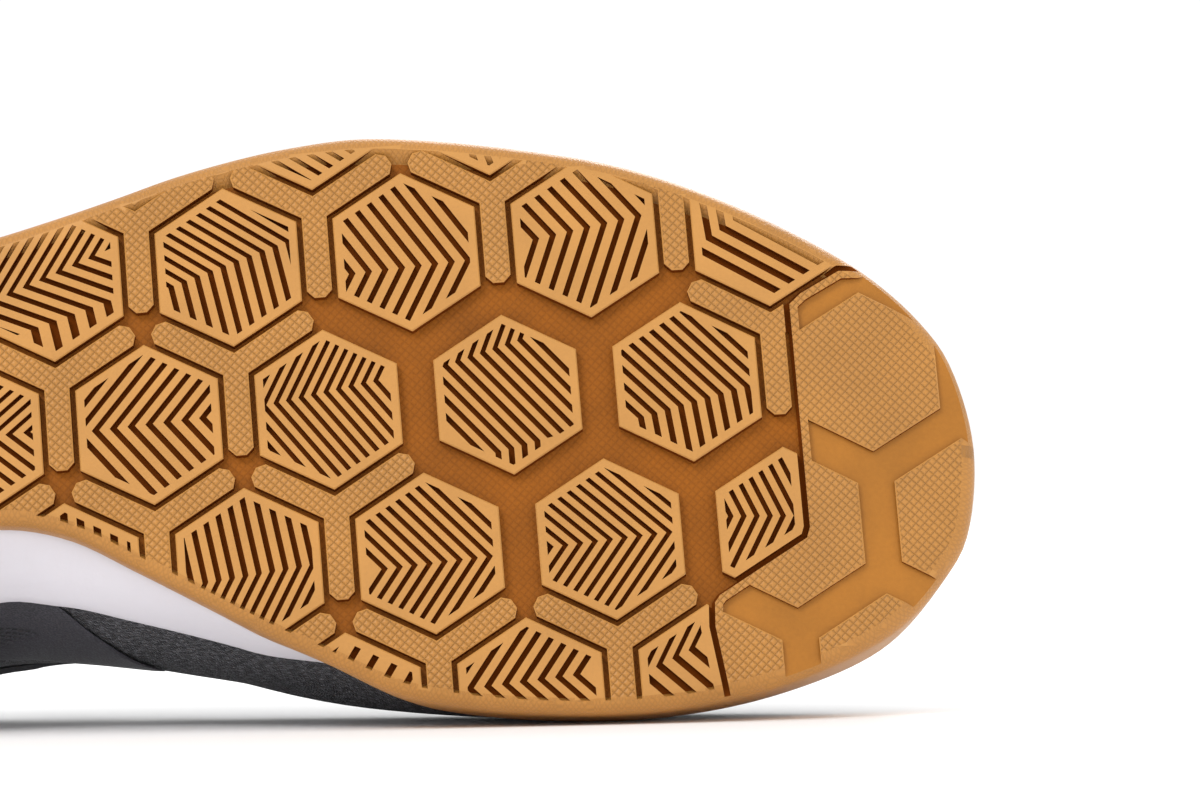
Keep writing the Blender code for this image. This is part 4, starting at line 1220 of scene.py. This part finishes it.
def midsole_section(u):
    inside, top, edge = cup_offset(u) - GAP, stack(u), midsole_edge(u)
    ledge = inside * tuck(u)
    step = min(wrap_top(u) + GAP, top - 2 * MIDSOLE_EDGE)
    shoulder = top - MIDSOLE_EDGE
    low = place(u, ledge, step)
    belly = place(u, mix(ledge, edge, 0.6), (step + shoulder) / 2)
    high = place(u, edge, shoulder)
    control = 2 * belly - (low + high) / 2
    points = [place(u, inside, CUP_FLOOR + GAP), place(u, inside, step)]
    round_in = 0.0005 * (1 - tuck(u))
    points.append(place(u, ledge - round_in, step))
    for k in range(FOAM_STEPS + 1):
        t = mix(0.04, 1.0, k / FOAM_STEPS)
        points.append((1 - t) ** 2 * low + 2 * t * (1 - t) * control + t * t * high)
    for k in range(1, ROUND_STEPS + 1):
        a = math.pi / 2 * k / ROUND_STEPS
        points.append(place(u, edge - MIDSOLE_EDGE * 0.7 * (1 - math.cos(a)),
                            shoulder + MIDSOLE_EDGE * math.sin(a)))
    points.append(place(u, min(edge, foot_offset(u)) - FOAM_IN, top))
    return points


midsole = ring_of("foam_midsole", midsole_section, MIDSOLE_ROUND, bent=True)

foam, tree, shader, spot = start_material("moulded_foam", 0.55)
# The foam itself is white; its grey-lavender tone here is partly painted shade.
mottle = use_group(tree, MOTTLING, Place=spot, Scale=45.0, Amount=0.06, Colour=(0.74, 0.715, 0.765, 1))
tree.links.new(mottle.outputs["Colour"], shader.inputs["Base Color"])
bump(tree, shader, mottle.outputs["Grain"], 0.00008, 0.5)
dress(midsole, foam)
settle(midsole, ["midsole"], degrees=40)

# %% [markdown]
# The soft pieces are cloth, so two more node groups come first. One knits: columns of small V
# shapes, read from the sheet's own map. The other makes rows of short dashes, which serve as sewn
# stitches along an edge and as the dashes pressed into the film.

# %% Node groups: knitting and dashes
STITCH_SLANT, YARN_ACROSS, YARN_UP = 1.3, 0.8, 1.5
DASH_HALF, DASH_EDGE, END_EDGE = 0.36, 12.0, 80.0   # a dash's half length, and how sharp its ends are


def knitting():
    """Columns of small V shapes; Height is 1 along the middle of each yarn."""
    tree, take, give = new_group(
        "knitting",
        [("Place", "NodeSocketVector", None), ("Across", "NodeSocketFloat", 700.0),
         ("Up", "NodeSocketFloat", 90.0)],
        [("Height", "NodeSocketFloat"), ("Yarn", "NodeSocketFloat")])
    x, y = axes(tree, take.outputs["Place"])
    column = maths(tree, "MULTIPLY", x, take.outputs["Across"])
    aside = maths(tree, "ABSOLUTE", maths(tree, "SUBTRACT", maths(tree, "FRACT", column), 0.5))
    row = maths(tree, "MULTIPLY_ADD", aside, STITCH_SLANT, maths(tree, "MULTIPLY", y, take.outputs["Up"]))
    turned = maths(tree, "SINE", maths(tree, "MULTIPLY", row, 2 * math.pi))
    wave = maths(tree, "MULTIPLY_ADD", turned, 0.5, 0.5)
    seam = maths(tree, "POWER", maths(tree, "MULTIPLY", aside, 2.0), 5.0)
    tree.links.new(maths(tree, "MULTIPLY", wave, maths(tree, "SUBTRACT", 1.0, seam)), give.inputs["Height"])
    stretched = node(tree, "ShaderNodeCombineXYZ")
    tree.links.new(maths(tree, "MULTIPLY", column, YARN_ACROSS), stretched.inputs["X"])
    tree.links.new(maths(tree, "MULTIPLY", row, YARN_UP), stretched.inputs["Y"])
    tree.links.new(noise(tree, stretched.outputs[0], 1.0), give.inputs["Yarn"])
    return tree


def dashes():
    """A row of dashes along X at one height of the map; Mask is 1 on a dash."""
    tree, take, give = new_group(
        "dashes",
        [("Place", "NodeSocketVector", None), ("Count", "NodeSocketFloat", 250.0),
         ("Middle", "NodeSocketFloat", 0.1), ("Half", "NodeSocketFloat", 0.02),
         ("Shift", "NodeSocketFloat", 0.0), ("Reach", "NodeSocketFloat", 0.5)],
        [("Mask", "NodeSocketFloat")])
    x, y = axes(tree, take.outputs["Place"])
    turns = maths(tree, "MULTIPLY_ADD", x, take.outputs["Count"], take.outputs["Shift"])
    ahead = maths(tree, "ABSOLUTE", maths(tree, "SUBTRACT", maths(tree, "FRACT", turns), 0.5))
    off = maths(tree, "ABSOLUTE", maths(tree, "SUBTRACT", y, take.outputs["Middle"]))
    on_row = maths(tree, "SUBTRACT", 1.0, maths(tree, "DIVIDE", off, take.outputs["Half"]), limit=True)
    on_dash = maths(tree, "MULTIPLY", maths(tree, "SUBTRACT", DASH_HALF, ahead), DASH_EDGE, limit=True)
    both = maths(tree, "MULTIPLY", maths(tree, "POWER", on_row, 0.5), on_dash)
    from_middle = maths(tree, "ABSOLUTE", maths(tree, "SUBTRACT", x, 0.5))
    inside = maths(tree, "SUBTRACT", take.outputs["Reach"], from_middle)
    both = maths(tree, "MULTIPLY", both, maths(tree, "MULTIPLY", inside, END_EDGE, limit=True))
    tree.links.new(both, give.inputs["Mask"])
    return tree


KNITTING, DASHES = knitting(), dashes()
print("node groups:", [tree.name for tree in bpy.data.node_groups])

# %% [markdown]
# Every cloth is dark, and none is one plain colour: its yarns differ, so two tones are mixed along
# the stitches, and the hollows between the yarns get painted shade. The film is smoother and has a
# fine grain; rows of dashes are pressed into its sides, and a stitched line follows each edge of the
# band with the eyelets. Every dash is darkened as painted shade in its dent.

# %% Cloth, film and lace
def blend_colours(tree, share, first, second):
    made = node(tree, "ShaderNodeMix", data_type="RGBA")
    tree.links.new(share, made.inputs["Factor"])
    made.inputs["A"].default_value = (*first, 1)
    made.inputs["B"].default_value = (*second, 1)
    return made.outputs["Result"]


def stretch(tree, value, low, high):
    made = node(tree, "ShaderNodeMapRange")
    made.inputs["From Min"].default_value = low
    made.inputs["From Max"].default_value = high
    tree.links.new(value, made.inputs["Value"])
    return made.outputs["Result"]


def cloth(name, dark, light, across, up, depth=0.0005, low=0.42, high=0.66, roughness=0.9):
    made, tree, shader, spot = start_material(name, roughness)
    sheet_map = node(tree, "ShaderNodeUVMap", uv_map="UVMap").outputs["UV"]
    knit = use_group(tree, KNITTING, Place=sheet_map, Across=across, Up=up)
    tone = blend_colours(tree, stretch(tree, knit.outputs["Yarn"], low, high), dark, light)
    # Painted shade: the colour is darkened in the hollows between the yarns, where the knit's height is
    # low.
    shade = maths(tree, "MULTIPLY_ADD", knit.outputs["Height"], 0.45, 0.62)
    mottle = use_group(tree, MOTTLING, Place=spot, Scale=90.0, Amount=0.35,
                       Colour=scaled(tree, tone, shade))
    tree.links.new(mottle.outputs["Colour"], shader.inputs["Base Color"])
    shader.inputs["Sheen Weight"].default_value = 0.12
    shader.inputs["Sheen Roughness"].default_value = 0.5
    bump(tree, shader, knit.outputs["Height"], depth)
    return made


FILM_GRAIN = 2600.0


def film(name, dark, light, rows, depth, roughness=0.55):
    made, tree, shader, spot = start_material(name, roughness)
    sheet_map = node(tree, "ShaderNodeUVMap", uv_map="UVMap").outputs["UV"]
    grain = noise(tree, spot, FILM_GRAIN)
    speckle = blend_colours(tree, stretch(tree, grain, 0.40, 0.68), dark, light)
    mottle = use_group(tree, MOTTLING, Place=spot, Scale=50.0, Amount=0.3, Colour=speckle)
    mask = None
    for count, middle, half, shift, reach in rows:
        row = use_group(tree, DASHES, Place=sheet_map, Count=count, Middle=middle, Half=half, Shift=shift,
                        Reach=reach)
        mask = row.outputs["Mask"] if mask is None else maths(tree, "MAXIMUM", mask, row.outputs["Mask"])
    # Painted shade: every dash is darkened as the shade in its dent, and the bump below presses it in.
    shade = maths(tree, "MULTIPLY_ADD", mask, -0.8, 1.0)
    tree.links.new(scaled(tree, mottle.outputs["Colour"], shade), shader.inputs["Base Color"])
    height = maths(tree, "MULTIPLY_ADD", mask, -1.0, maths(tree, "MULTIPLY", grain, 0.25))
    bump(tree, shader, height, depth)
    return made


KNIT = cloth("upper_knit", (0.026, 0.025, 0.032), (0.240, 0.235, 0.260), 620.0, 95.0, low=0.47, high=0.62)
LINING = cloth("soft_lining", (0.020, 0.020, 0.024), (0.045, 0.044, 0.052), 900.0, 130.0, 0.0002)
TONGUE_CLOTH = cloth("tongue_mesh", (0.026, 0.025, 0.031), (0.080, 0.078, 0.090), 60.0, 120.0, 0.0004)
LACE_CLOTH = cloth("woven_lace", (0.024, 0.024, 0.029), (0.070, 0.069, 0.080), 12.0, 60.0, 0.0003)
SOCK_CLOTH = cloth("sock_cloth", (0.050, 0.049, 0.056), (0.100, 0.098, 0.110), 700.0, 60.0, 0.0002)

# Rows of dashes: how many round, middle and half width up the sheet, shift, and how far they reach.
PRESSED = [(210.0, 0.44 + 0.055 * k, 0.021, 0.5 * (k % 2), 0.408 - 0.003 * k) for k in range(7)]
FILM = film("quarter_film", (0.034, 0.032, 0.040), (0.076, 0.073, 0.086), PRESSED, 0.0007)
SEWN = [(110.0, 0.12, 0.035, 0.0, 0.5), (110.0, 0.88, 0.035, 0.0, 0.5)]
EYESTAY_FILM = film("eyestay_film", (0.028, 0.028, 0.033), (0.055, 0.054, 0.062), SEWN, 0.0004, 0.5)
print("materials:", [m.name for m in bpy.data.materials if m.name != "paper_floor"])

# %% [markdown]
# The upper is one knitted skin. A sheet goes round the whole foot, from the toe along the lateral
# side to the heel and back along the medial side, and climbs every rib from the midsole to the rim.
# Solidify then gives it the real wall, with the lining inside. A padded roll stands out under the
# collar's rim, and a sewn channel holds it below.

# %% Upper
UPPER_ROUND, UPPER_UP = 300, 60
COLLAR_END, CHANNEL_DOWN, CHANNEL_HALF = 0.44, 0.0170, 0.0014
CHANNEL_DEPTH, ROLL_OUT, CHANNEL_END = 0.0007, 0.0007, 0.06
EYELETS = 6
EYELET_FROM_RIM, EYELET_RADIUS = 0.0075, 0.0021


def face_out(piece):
    """Turn a sheet so that its front looks away from the middle of the shoe."""
    total = 0.0
    for face in piece.data.polygons:
        side = middle_line(face.center.x)
        away = face.center - Vector((face.center.x, side, HEEL_STACK))
        total += face.normal.dot(away.normalized()) * face.area
    if total < 0:
        edit(piece, "ALL")
        bpy.ops.mesh.flip_normals()
        leave()


def thicken(piece, wall, lined=0, round_levels=0):
    """Give a sheet its wall, inwards from the side that it shows."""
    merge(piece)
    face_out(piece)
    modifier = piece.modifiers.new("wall", "SOLIDIFY")
    modifier.thickness = wall
    modifier.offset = -1
    modifier.material_offset = lined
    if round_levels:
        rounder = piece.modifiers.new("round", "SUBSURF")
        rounder.levels = rounder.render_levels = round_levels
    apply_modifiers(piece)
    edit(piece, "ALL")
    bpy.ops.mesh.normals_make_consistent(inside=False)
    leave()


def knit_point(s, t):
    u = 2 * s - 1
    foot, _, _, rim = rib(u)
    down = (1 - t) * (rim - foot).length
    fade = clamp((COLLAR_END - abs(u)) / CHANNEL_END)
    channel = math.exp(-((down - CHANNEL_DOWN) / CHANNEL_HALF) ** 2)
    roll = math.sin(math.pi * clamp(down / CHANNEL_DOWN)) ** 0.7 if down < CHANNEL_DOWN else 0.0
    return off_upper(u, t, fade * (ROLL_OUT * roll - CHANNEL_DEPTH * channel))


upper = mould_sheet("knit_upper", UPPER_ROUND, UPPER_UP, knit_point)
dress(upper, KNIT, LINING)
thicken(upper, UPPER_WALL, lined=1)
print("upper:", len(upper.data.polygons), "faces")

# %% [markdown]
# The band round the throat is a sheet too: it runs up one side, round the toe end and up the other
# side, a set way below the rim. One set of cutters punches the eyelets through the band and the
# knit together, so that the laces can pass.

# %% Eyestay and eyelets
EYESTAY_WALL, EYESTAY_OFF, EYESTAY_MARGIN, EYESTAY_WIDTH = 0.0010, 0.0005, 0.0010, 0.0160
EYESTAY_FIRST, EYELET_TOE_END, EYELET_TOP_END = 0.45, 0.87, 0.50
STAY_ROUND, STAY_UP, PUNCH_SIDES, PUNCH_LONG = 140, 12, 24, 0.012


def stay_point(s, t):
    station = mix(EYESTAY_FIRST, 2 - EYESTAY_FIRST, s)
    u = -station if station <= 1 else 2 - station
    return off_upper(u, from_rim(u, EYESTAY_MARGIN + EYESTAY_WIDTH * (1 - t)), EYESTAY_OFF + EYESTAY_WALL)


eyestay = mould_sheet("eyestay_band", STAY_ROUND, STAY_UP, stay_point)
dress(eyestay, EYESTAY_FILM)
thicken(eyestay, EYESTAY_WALL)
stations = [mix(EYELET_TOE_END, EYELET_TOP_END, k / (EYELETS - 1)) for k in range(EYELETS)]
punches = []
for station in stations:
    for u in (-station, station):
        v = from_rim(u, EYELET_FROM_RIM)
        deselect()
        bpy.ops.mesh.primitive_cylinder_add(vertices=PUNCH_SIDES, radius=EYELET_RADIUS, depth=PUNCH_LONG)
        punch = bpy.context.object
        punch.data.transform(Matrix.Translation(upper_point(u, v))
                             @ upper_normal(u, v).to_track_quat("Z", "Y").to_matrix().to_4x4())
        punches.append(punch)
punch = join(punches, "punch")
cut(upper, punch, keep=True)
cut(eyestay, punch)
settle(upper, ["upper"], degrees=50)
settle(eyestay, ["eyestay"], degrees=50)

# %% [markdown]
# The film covers the heel and the quarters. Its lower edge follows the midsole, and towards the
# front it lifts off that edge and runs up slantwise, so that the open knit shows in front of it.

# %% Quarter film
FILM_REACH, FILM_WALL, FILM_THIN = 0.54, 0.0006, 0.45
FILM_ROUND, FILM_UP, THIN_UP, THIN_ROUND = 220, 30, 0.04, 0.03
FILM_SHAPE = table(
    "foot low high",
    (0.00, 0.04, 0.62), (0.15, 0.04, 0.55), (0.30, 0.04, 0.50), (0.40, 0.04, 0.47),
    (0.435, 0.05, 0.46), (0.47, 0.19, 0.45), (0.51, 0.34, 0.44), (0.54, 0.42, 0.44))


def film_point(s, t):
    u = mix(-FILM_REACH, FILM_REACH, s)
    low, high = (smooth_value(FILM_SHAPE, "foot", name, abs(u)) for name in ("low", "high"))
    edge = clamp(min(min(t, 1 - t) / THIN_UP, min(s, 1 - s) / THIN_ROUND)) ** 0.5
    return off_upper(u, mix(low, high, t), GAP + FILM_WALL * mix(FILM_THIN, 1.0, edge))


quarter = mould_sheet("quarter_skin", FILM_ROUND, FILM_UP, film_point)
dress(quarter, FILM)
thicken(quarter, FILM_WALL * FILM_THIN)
settle(quarter, ["quarter_film"], degrees=50)

# %% [markdown]
# The tongue is a padded slip under the throat. Its edges lie under the upper, its middle fills the
# throat, and its top stands up as a flap. The collar gets its own soft roll on the inside.

# %% Tongue and collar padding
TONGUE_WALL, TONGUE_CLEAR, TONGUE_UNDERLAP, TONGUE_ARCH = 0.0045, 0.0014, 0.0110, 0.0025
TONGUE_FIRST, TONGUE_FADE, TONGUE_LEAST, TONGUE_FLAP = 0.485, 0.12, 0.12, 0.026
FLAP_LEAN, TONGUE_LAST, TONGUE_STEPS = math.radians(30), 0.985, 30
FLAP = table("up width", (0.0, 1.0), (0.35, 0.97), (0.70, 0.92), (0.90, 0.86), (1.0, 0.80))
ACROSS = (-1, -0.6, -0.2, 0.2, 0.6, 1)


def throat_point(s, q):
    lateral, medial = rim_point(-s), rim_point(s)
    point = lateral.lerp(medial, (q + 1) / 2)
    point.z += TONGUE_ARCH * clamp((medial - lateral).length / COLLAR_HALF) * (1 - q * q)
    return point


def tongue_section(s):
    below = UPPER_WALL + TONGUE_CLEAR
    under = TONGUE_UNDERLAP * clamp((s - TONGUE_FIRST) / TONGUE_FADE, TONGUE_LEAST)
    points = [off_upper(-s, from_rim(-s, under * share), -below) for share in (1.0, 0.5)]
    for q in ACROSS:
        edge = off_upper(math.copysign(s, q), 1, -below) - rim_point(math.copysign(s, q))
        points.append(throat_point(s, q) + edge.lerp(Vector((0, 0, -below)), 1 - abs(q)))
    points += [off_upper(s, from_rim(s, under * share), -below) for share in (0.5, 1.0)]
    return points


def tongue_rows():
    first = tongue_section(TONGUE_FIRST)
    middle = (first[0] + first[-1]) / 2
    rows = []
    for share, width in list(zip(FLAP["up"], FLAP["width"]))[:0:-1]:
        lift = Vector((-math.sin(FLAP_LEAN), 0, math.cos(FLAP_LEAN))) * TONGUE_FLAP * share
        rows.append([point + lift for point in first])
        for held in rows[-1]:
            held.y = mix(middle.y, held.y, width)
    ahead = [mix(TONGUE_FIRST, TONGUE_LAST, k / TONGUE_STEPS) for k in range(1, TONGUE_STEPS + 1)]
    return rows + [first] + [tongue_section(s) for s in ahead]


rows = tongue_rows()
tongue = mould_sheet("padded_tongue", len(rows[0]) - 1, len(rows) - 1,
                     lambda s, t: rows[round((1 - t) * (len(rows) - 1))][round(s * (len(rows[0]) - 1))])
dress(tongue, TONGUE_CLOTH)
thicken(tongue, TONGUE_WALL, round_levels=2)
settle(tongue, ["tongue"], degrees=60)

ROLL_AROUND, ROLL_ALONG, ROLL_HIGH, ROLL_THICK = 16, 140, 0.0085, 0.0036
ROLL_ABOVE, ROLL_FADE, ROLL_LEAST, RIM_FROM = 0.0012, 0.05, 0.03, 0.93


def roll_point(s, t):
    u = mix(-COLLAR_END, COLLAR_END, s)
    a = 2 * math.pi * t
    full = math.sqrt(clamp((COLLAR_END - abs(u)) / ROLL_FADE, ROLL_LEAST))
    normal = upper_normal(u, 1.0)
    rise = (upper_point(u, 1.0) - upper_point(u, RIM_FROM)).normalized()
    middle = rim_point(u) - normal * (UPPER_WALL + GAP + ROLL_THICK) - rise * (ROLL_HIGH - ROLL_ABOVE)
    return middle + (normal * ROLL_THICK * math.cos(a) + rise * ROLL_HIGH * math.sin(a)) * full


roll = closed_sheet("collar_roll", ROLL_ALONG, ROLL_AROUND, roll_point)
dress(roll, LINING)
settle(roll, degrees=60)

# %% [markdown]
# One lace holds all the eyelets. It lies as a straight bar at the toe end, goes down through the
# first pair, and from there each half crosses over, slips under the other side and comes up through
# the next eyelet. Its two ends stop inside the top pair. Each crossing is one flat strip with round
# edges, bunched in its holes.

# %% Laces
LACE_WIDTH, LACE_THICK, LACE_AROUND, PATH_STEPS = 0.0060, 0.0012, 14, 6
BUNCH_STEPS, BUNCH_NARROW, BUNCH_THICK = 12, 0.58, 1.5
LACE_FROM_RIM, HOLE_EDGE, LACE_BOW = 0.0030, 0.0018, 0.0017
ON_TOP = EYESTAY_OFF + EYESTAY_WALL + 0.0008
UNDERNEATH = -UPPER_WALL - 0.0007


def smooth_path(knots, steps):
    """A smooth curve through all of the knots."""
    ends = [2 * knots[0] - knots[1]] + knots + [2 * knots[-1] - knots[-2]]
    points = []
    for a, b, c, d in zip(ends, ends[1:], ends[2:], ends[3:]):
        for k in range(steps):
            t = k / steps
            points.append(0.5 * (2 * b + (c - a) * t + (2 * a - 5 * b + 4 * c - d) * t * t
                                 + (3 * b - a - 3 * c + d) * t ** 3))
    return points + [knots[-1]]


def strip_along(name, knots, along):
    points = smooth_path(knots, PATH_STEPS)
    last = len(points) - 1

    def at(s, t):
        k = round(s * last)
        ahead = (points[min(k + 1, last)] - points[max(k - 1, 0)]).normalized()
        side = (along - ahead * along.dot(ahead)).normalized()
        a = 2 * math.pi * t
        bunch = clamp(min(k, last - k) / BUNCH_STEPS)
        wide = LACE_WIDTH / 2 * mix(BUNCH_NARROW, 1.0, bunch)
        thick = LACE_THICK / 2 * mix(BUNCH_THICK, 1.0, bunch)
        c, r = math.cos(a), math.sin(a)
        return (points[k] + side * wide * math.copysign(abs(c) ** 0.7, c)
                + ahead.cross(side) * thick * math.copysign(abs(r) ** 0.8, r))

    return closed_sheet(name, last, LACE_AROUND, at)


def lace_knots(start, end, over_start, over_end, lift):
    """The way of the lace from the eyelet at start to the one at end."""
    knots = []
    for u, over, flip in ((start, over_start, False), (end, over_end, True)):
        hole, past = from_rim(u, EYELET_FROM_RIM), from_rim(u, EYELET_FROM_RIM - HOLE_EDGE)
        heights = ((-0.0016, 0.0012, ON_TOP + 0.0004, ON_TOP) if over
                   else (0.0006, -0.0014, UNDERNEATH - 0.0002, UNDERNEATH))
        part = [off_upper(u, v, height)
                for v, height in zip((hole, hole, past, from_rim(u, LACE_FROM_RIM)), heights)]
        knots.append(part[::-1] if flip else part)
    side = math.copysign(1, start)
    middle = []
    for share in (0.16, 0.33, 0.5, 0.67, 0.84):
        s = mix(abs(start), abs(end), mix(0.15, 0.85, share))
        height = mix(ON_TOP if over_start else UNDERNEATH, ON_TOP if over_end else UNDERNEATH,
                     clamp((share - 0.5) * 1.6 + 0.5))
        height = max(height, -UPPER_WALL - 0.0004) if 0.3 < share < 0.7 else height
        bow = lift * (1 - abs(2 * share - 1))
        middle.append(throat_point(s, side * (1 - 2 * share)) + Vector((0, 0, height + bow)))
    return knots[0] + middle + knots[1]


def throat_direction(low, high):
    return (throat_point(high, 0) - throat_point(low, 0)).normalized()


strips = [strip_along("lace_bar", lace_knots(-stations[0], stations[0], True, True, 0.0),
                      throat_direction(stations[0], stations[1]))]
for k, (low, high) in enumerate(zip(stations, stations[1:])):
    along = throat_direction(low, high)
    over = k > 0
    strips.append(strip_along("lace_a", lace_knots(low, -high, over, False, 0.0), along))
    strips.append(strip_along("lace_b", lace_knots(-low, high, over, False, LACE_BOW), along))
lace = join(strips, "flat_lace")
dress(lace, LACE_CLOTH)
settle(lace, ["laces"], degrees=60)

# %% [markdown]
# The insole is a loose foam sock with a cloth top. Its sheet climbs the edge, turns over it with a
# small round and runs in towards the middle line.

# %% Insole
SOCK_ROUND, SOCK_THICK, SOCK_EDGE, SOCK_CORNER = 200, 0.0037, 0.0008, 0.3


def sock_section(u):
    off = foot_offset(u) - UPPER_WALL - 3 * GAP
    low = stack(u) + GAP
    top = low + SOCK_THICK
    round_in = SOCK_EDGE * SOCK_CORNER
    points = [place(u, off, low), place(u, off, top - SOCK_EDGE),
              place(u, off - round_in, top - round_in), place(u, off - SOCK_EDGE, top)]
    rim = points[-1]
    across, raised = middle_line(rim.x), smooth_value(SOLE_SIDE, "along", "stack", rim.x / LENGTH)
    inner_top = FORE_STACK + (HEEL_STACK - FORE_STACK) * raised + GAP + SOCK_THICK
    for share in (0.15, 0.35, 0.6, 0.85):
        points.append(Vector((rim.x, mix(rim.y, across, share), mix(top, inner_top, share))))
    return points


sock = ring_of("sock_liner", sock_section, SOCK_ROUND, bent=True)
dress(sock, SOCK_CLOTH)
settle(sock, ["insole"], degrees=40)
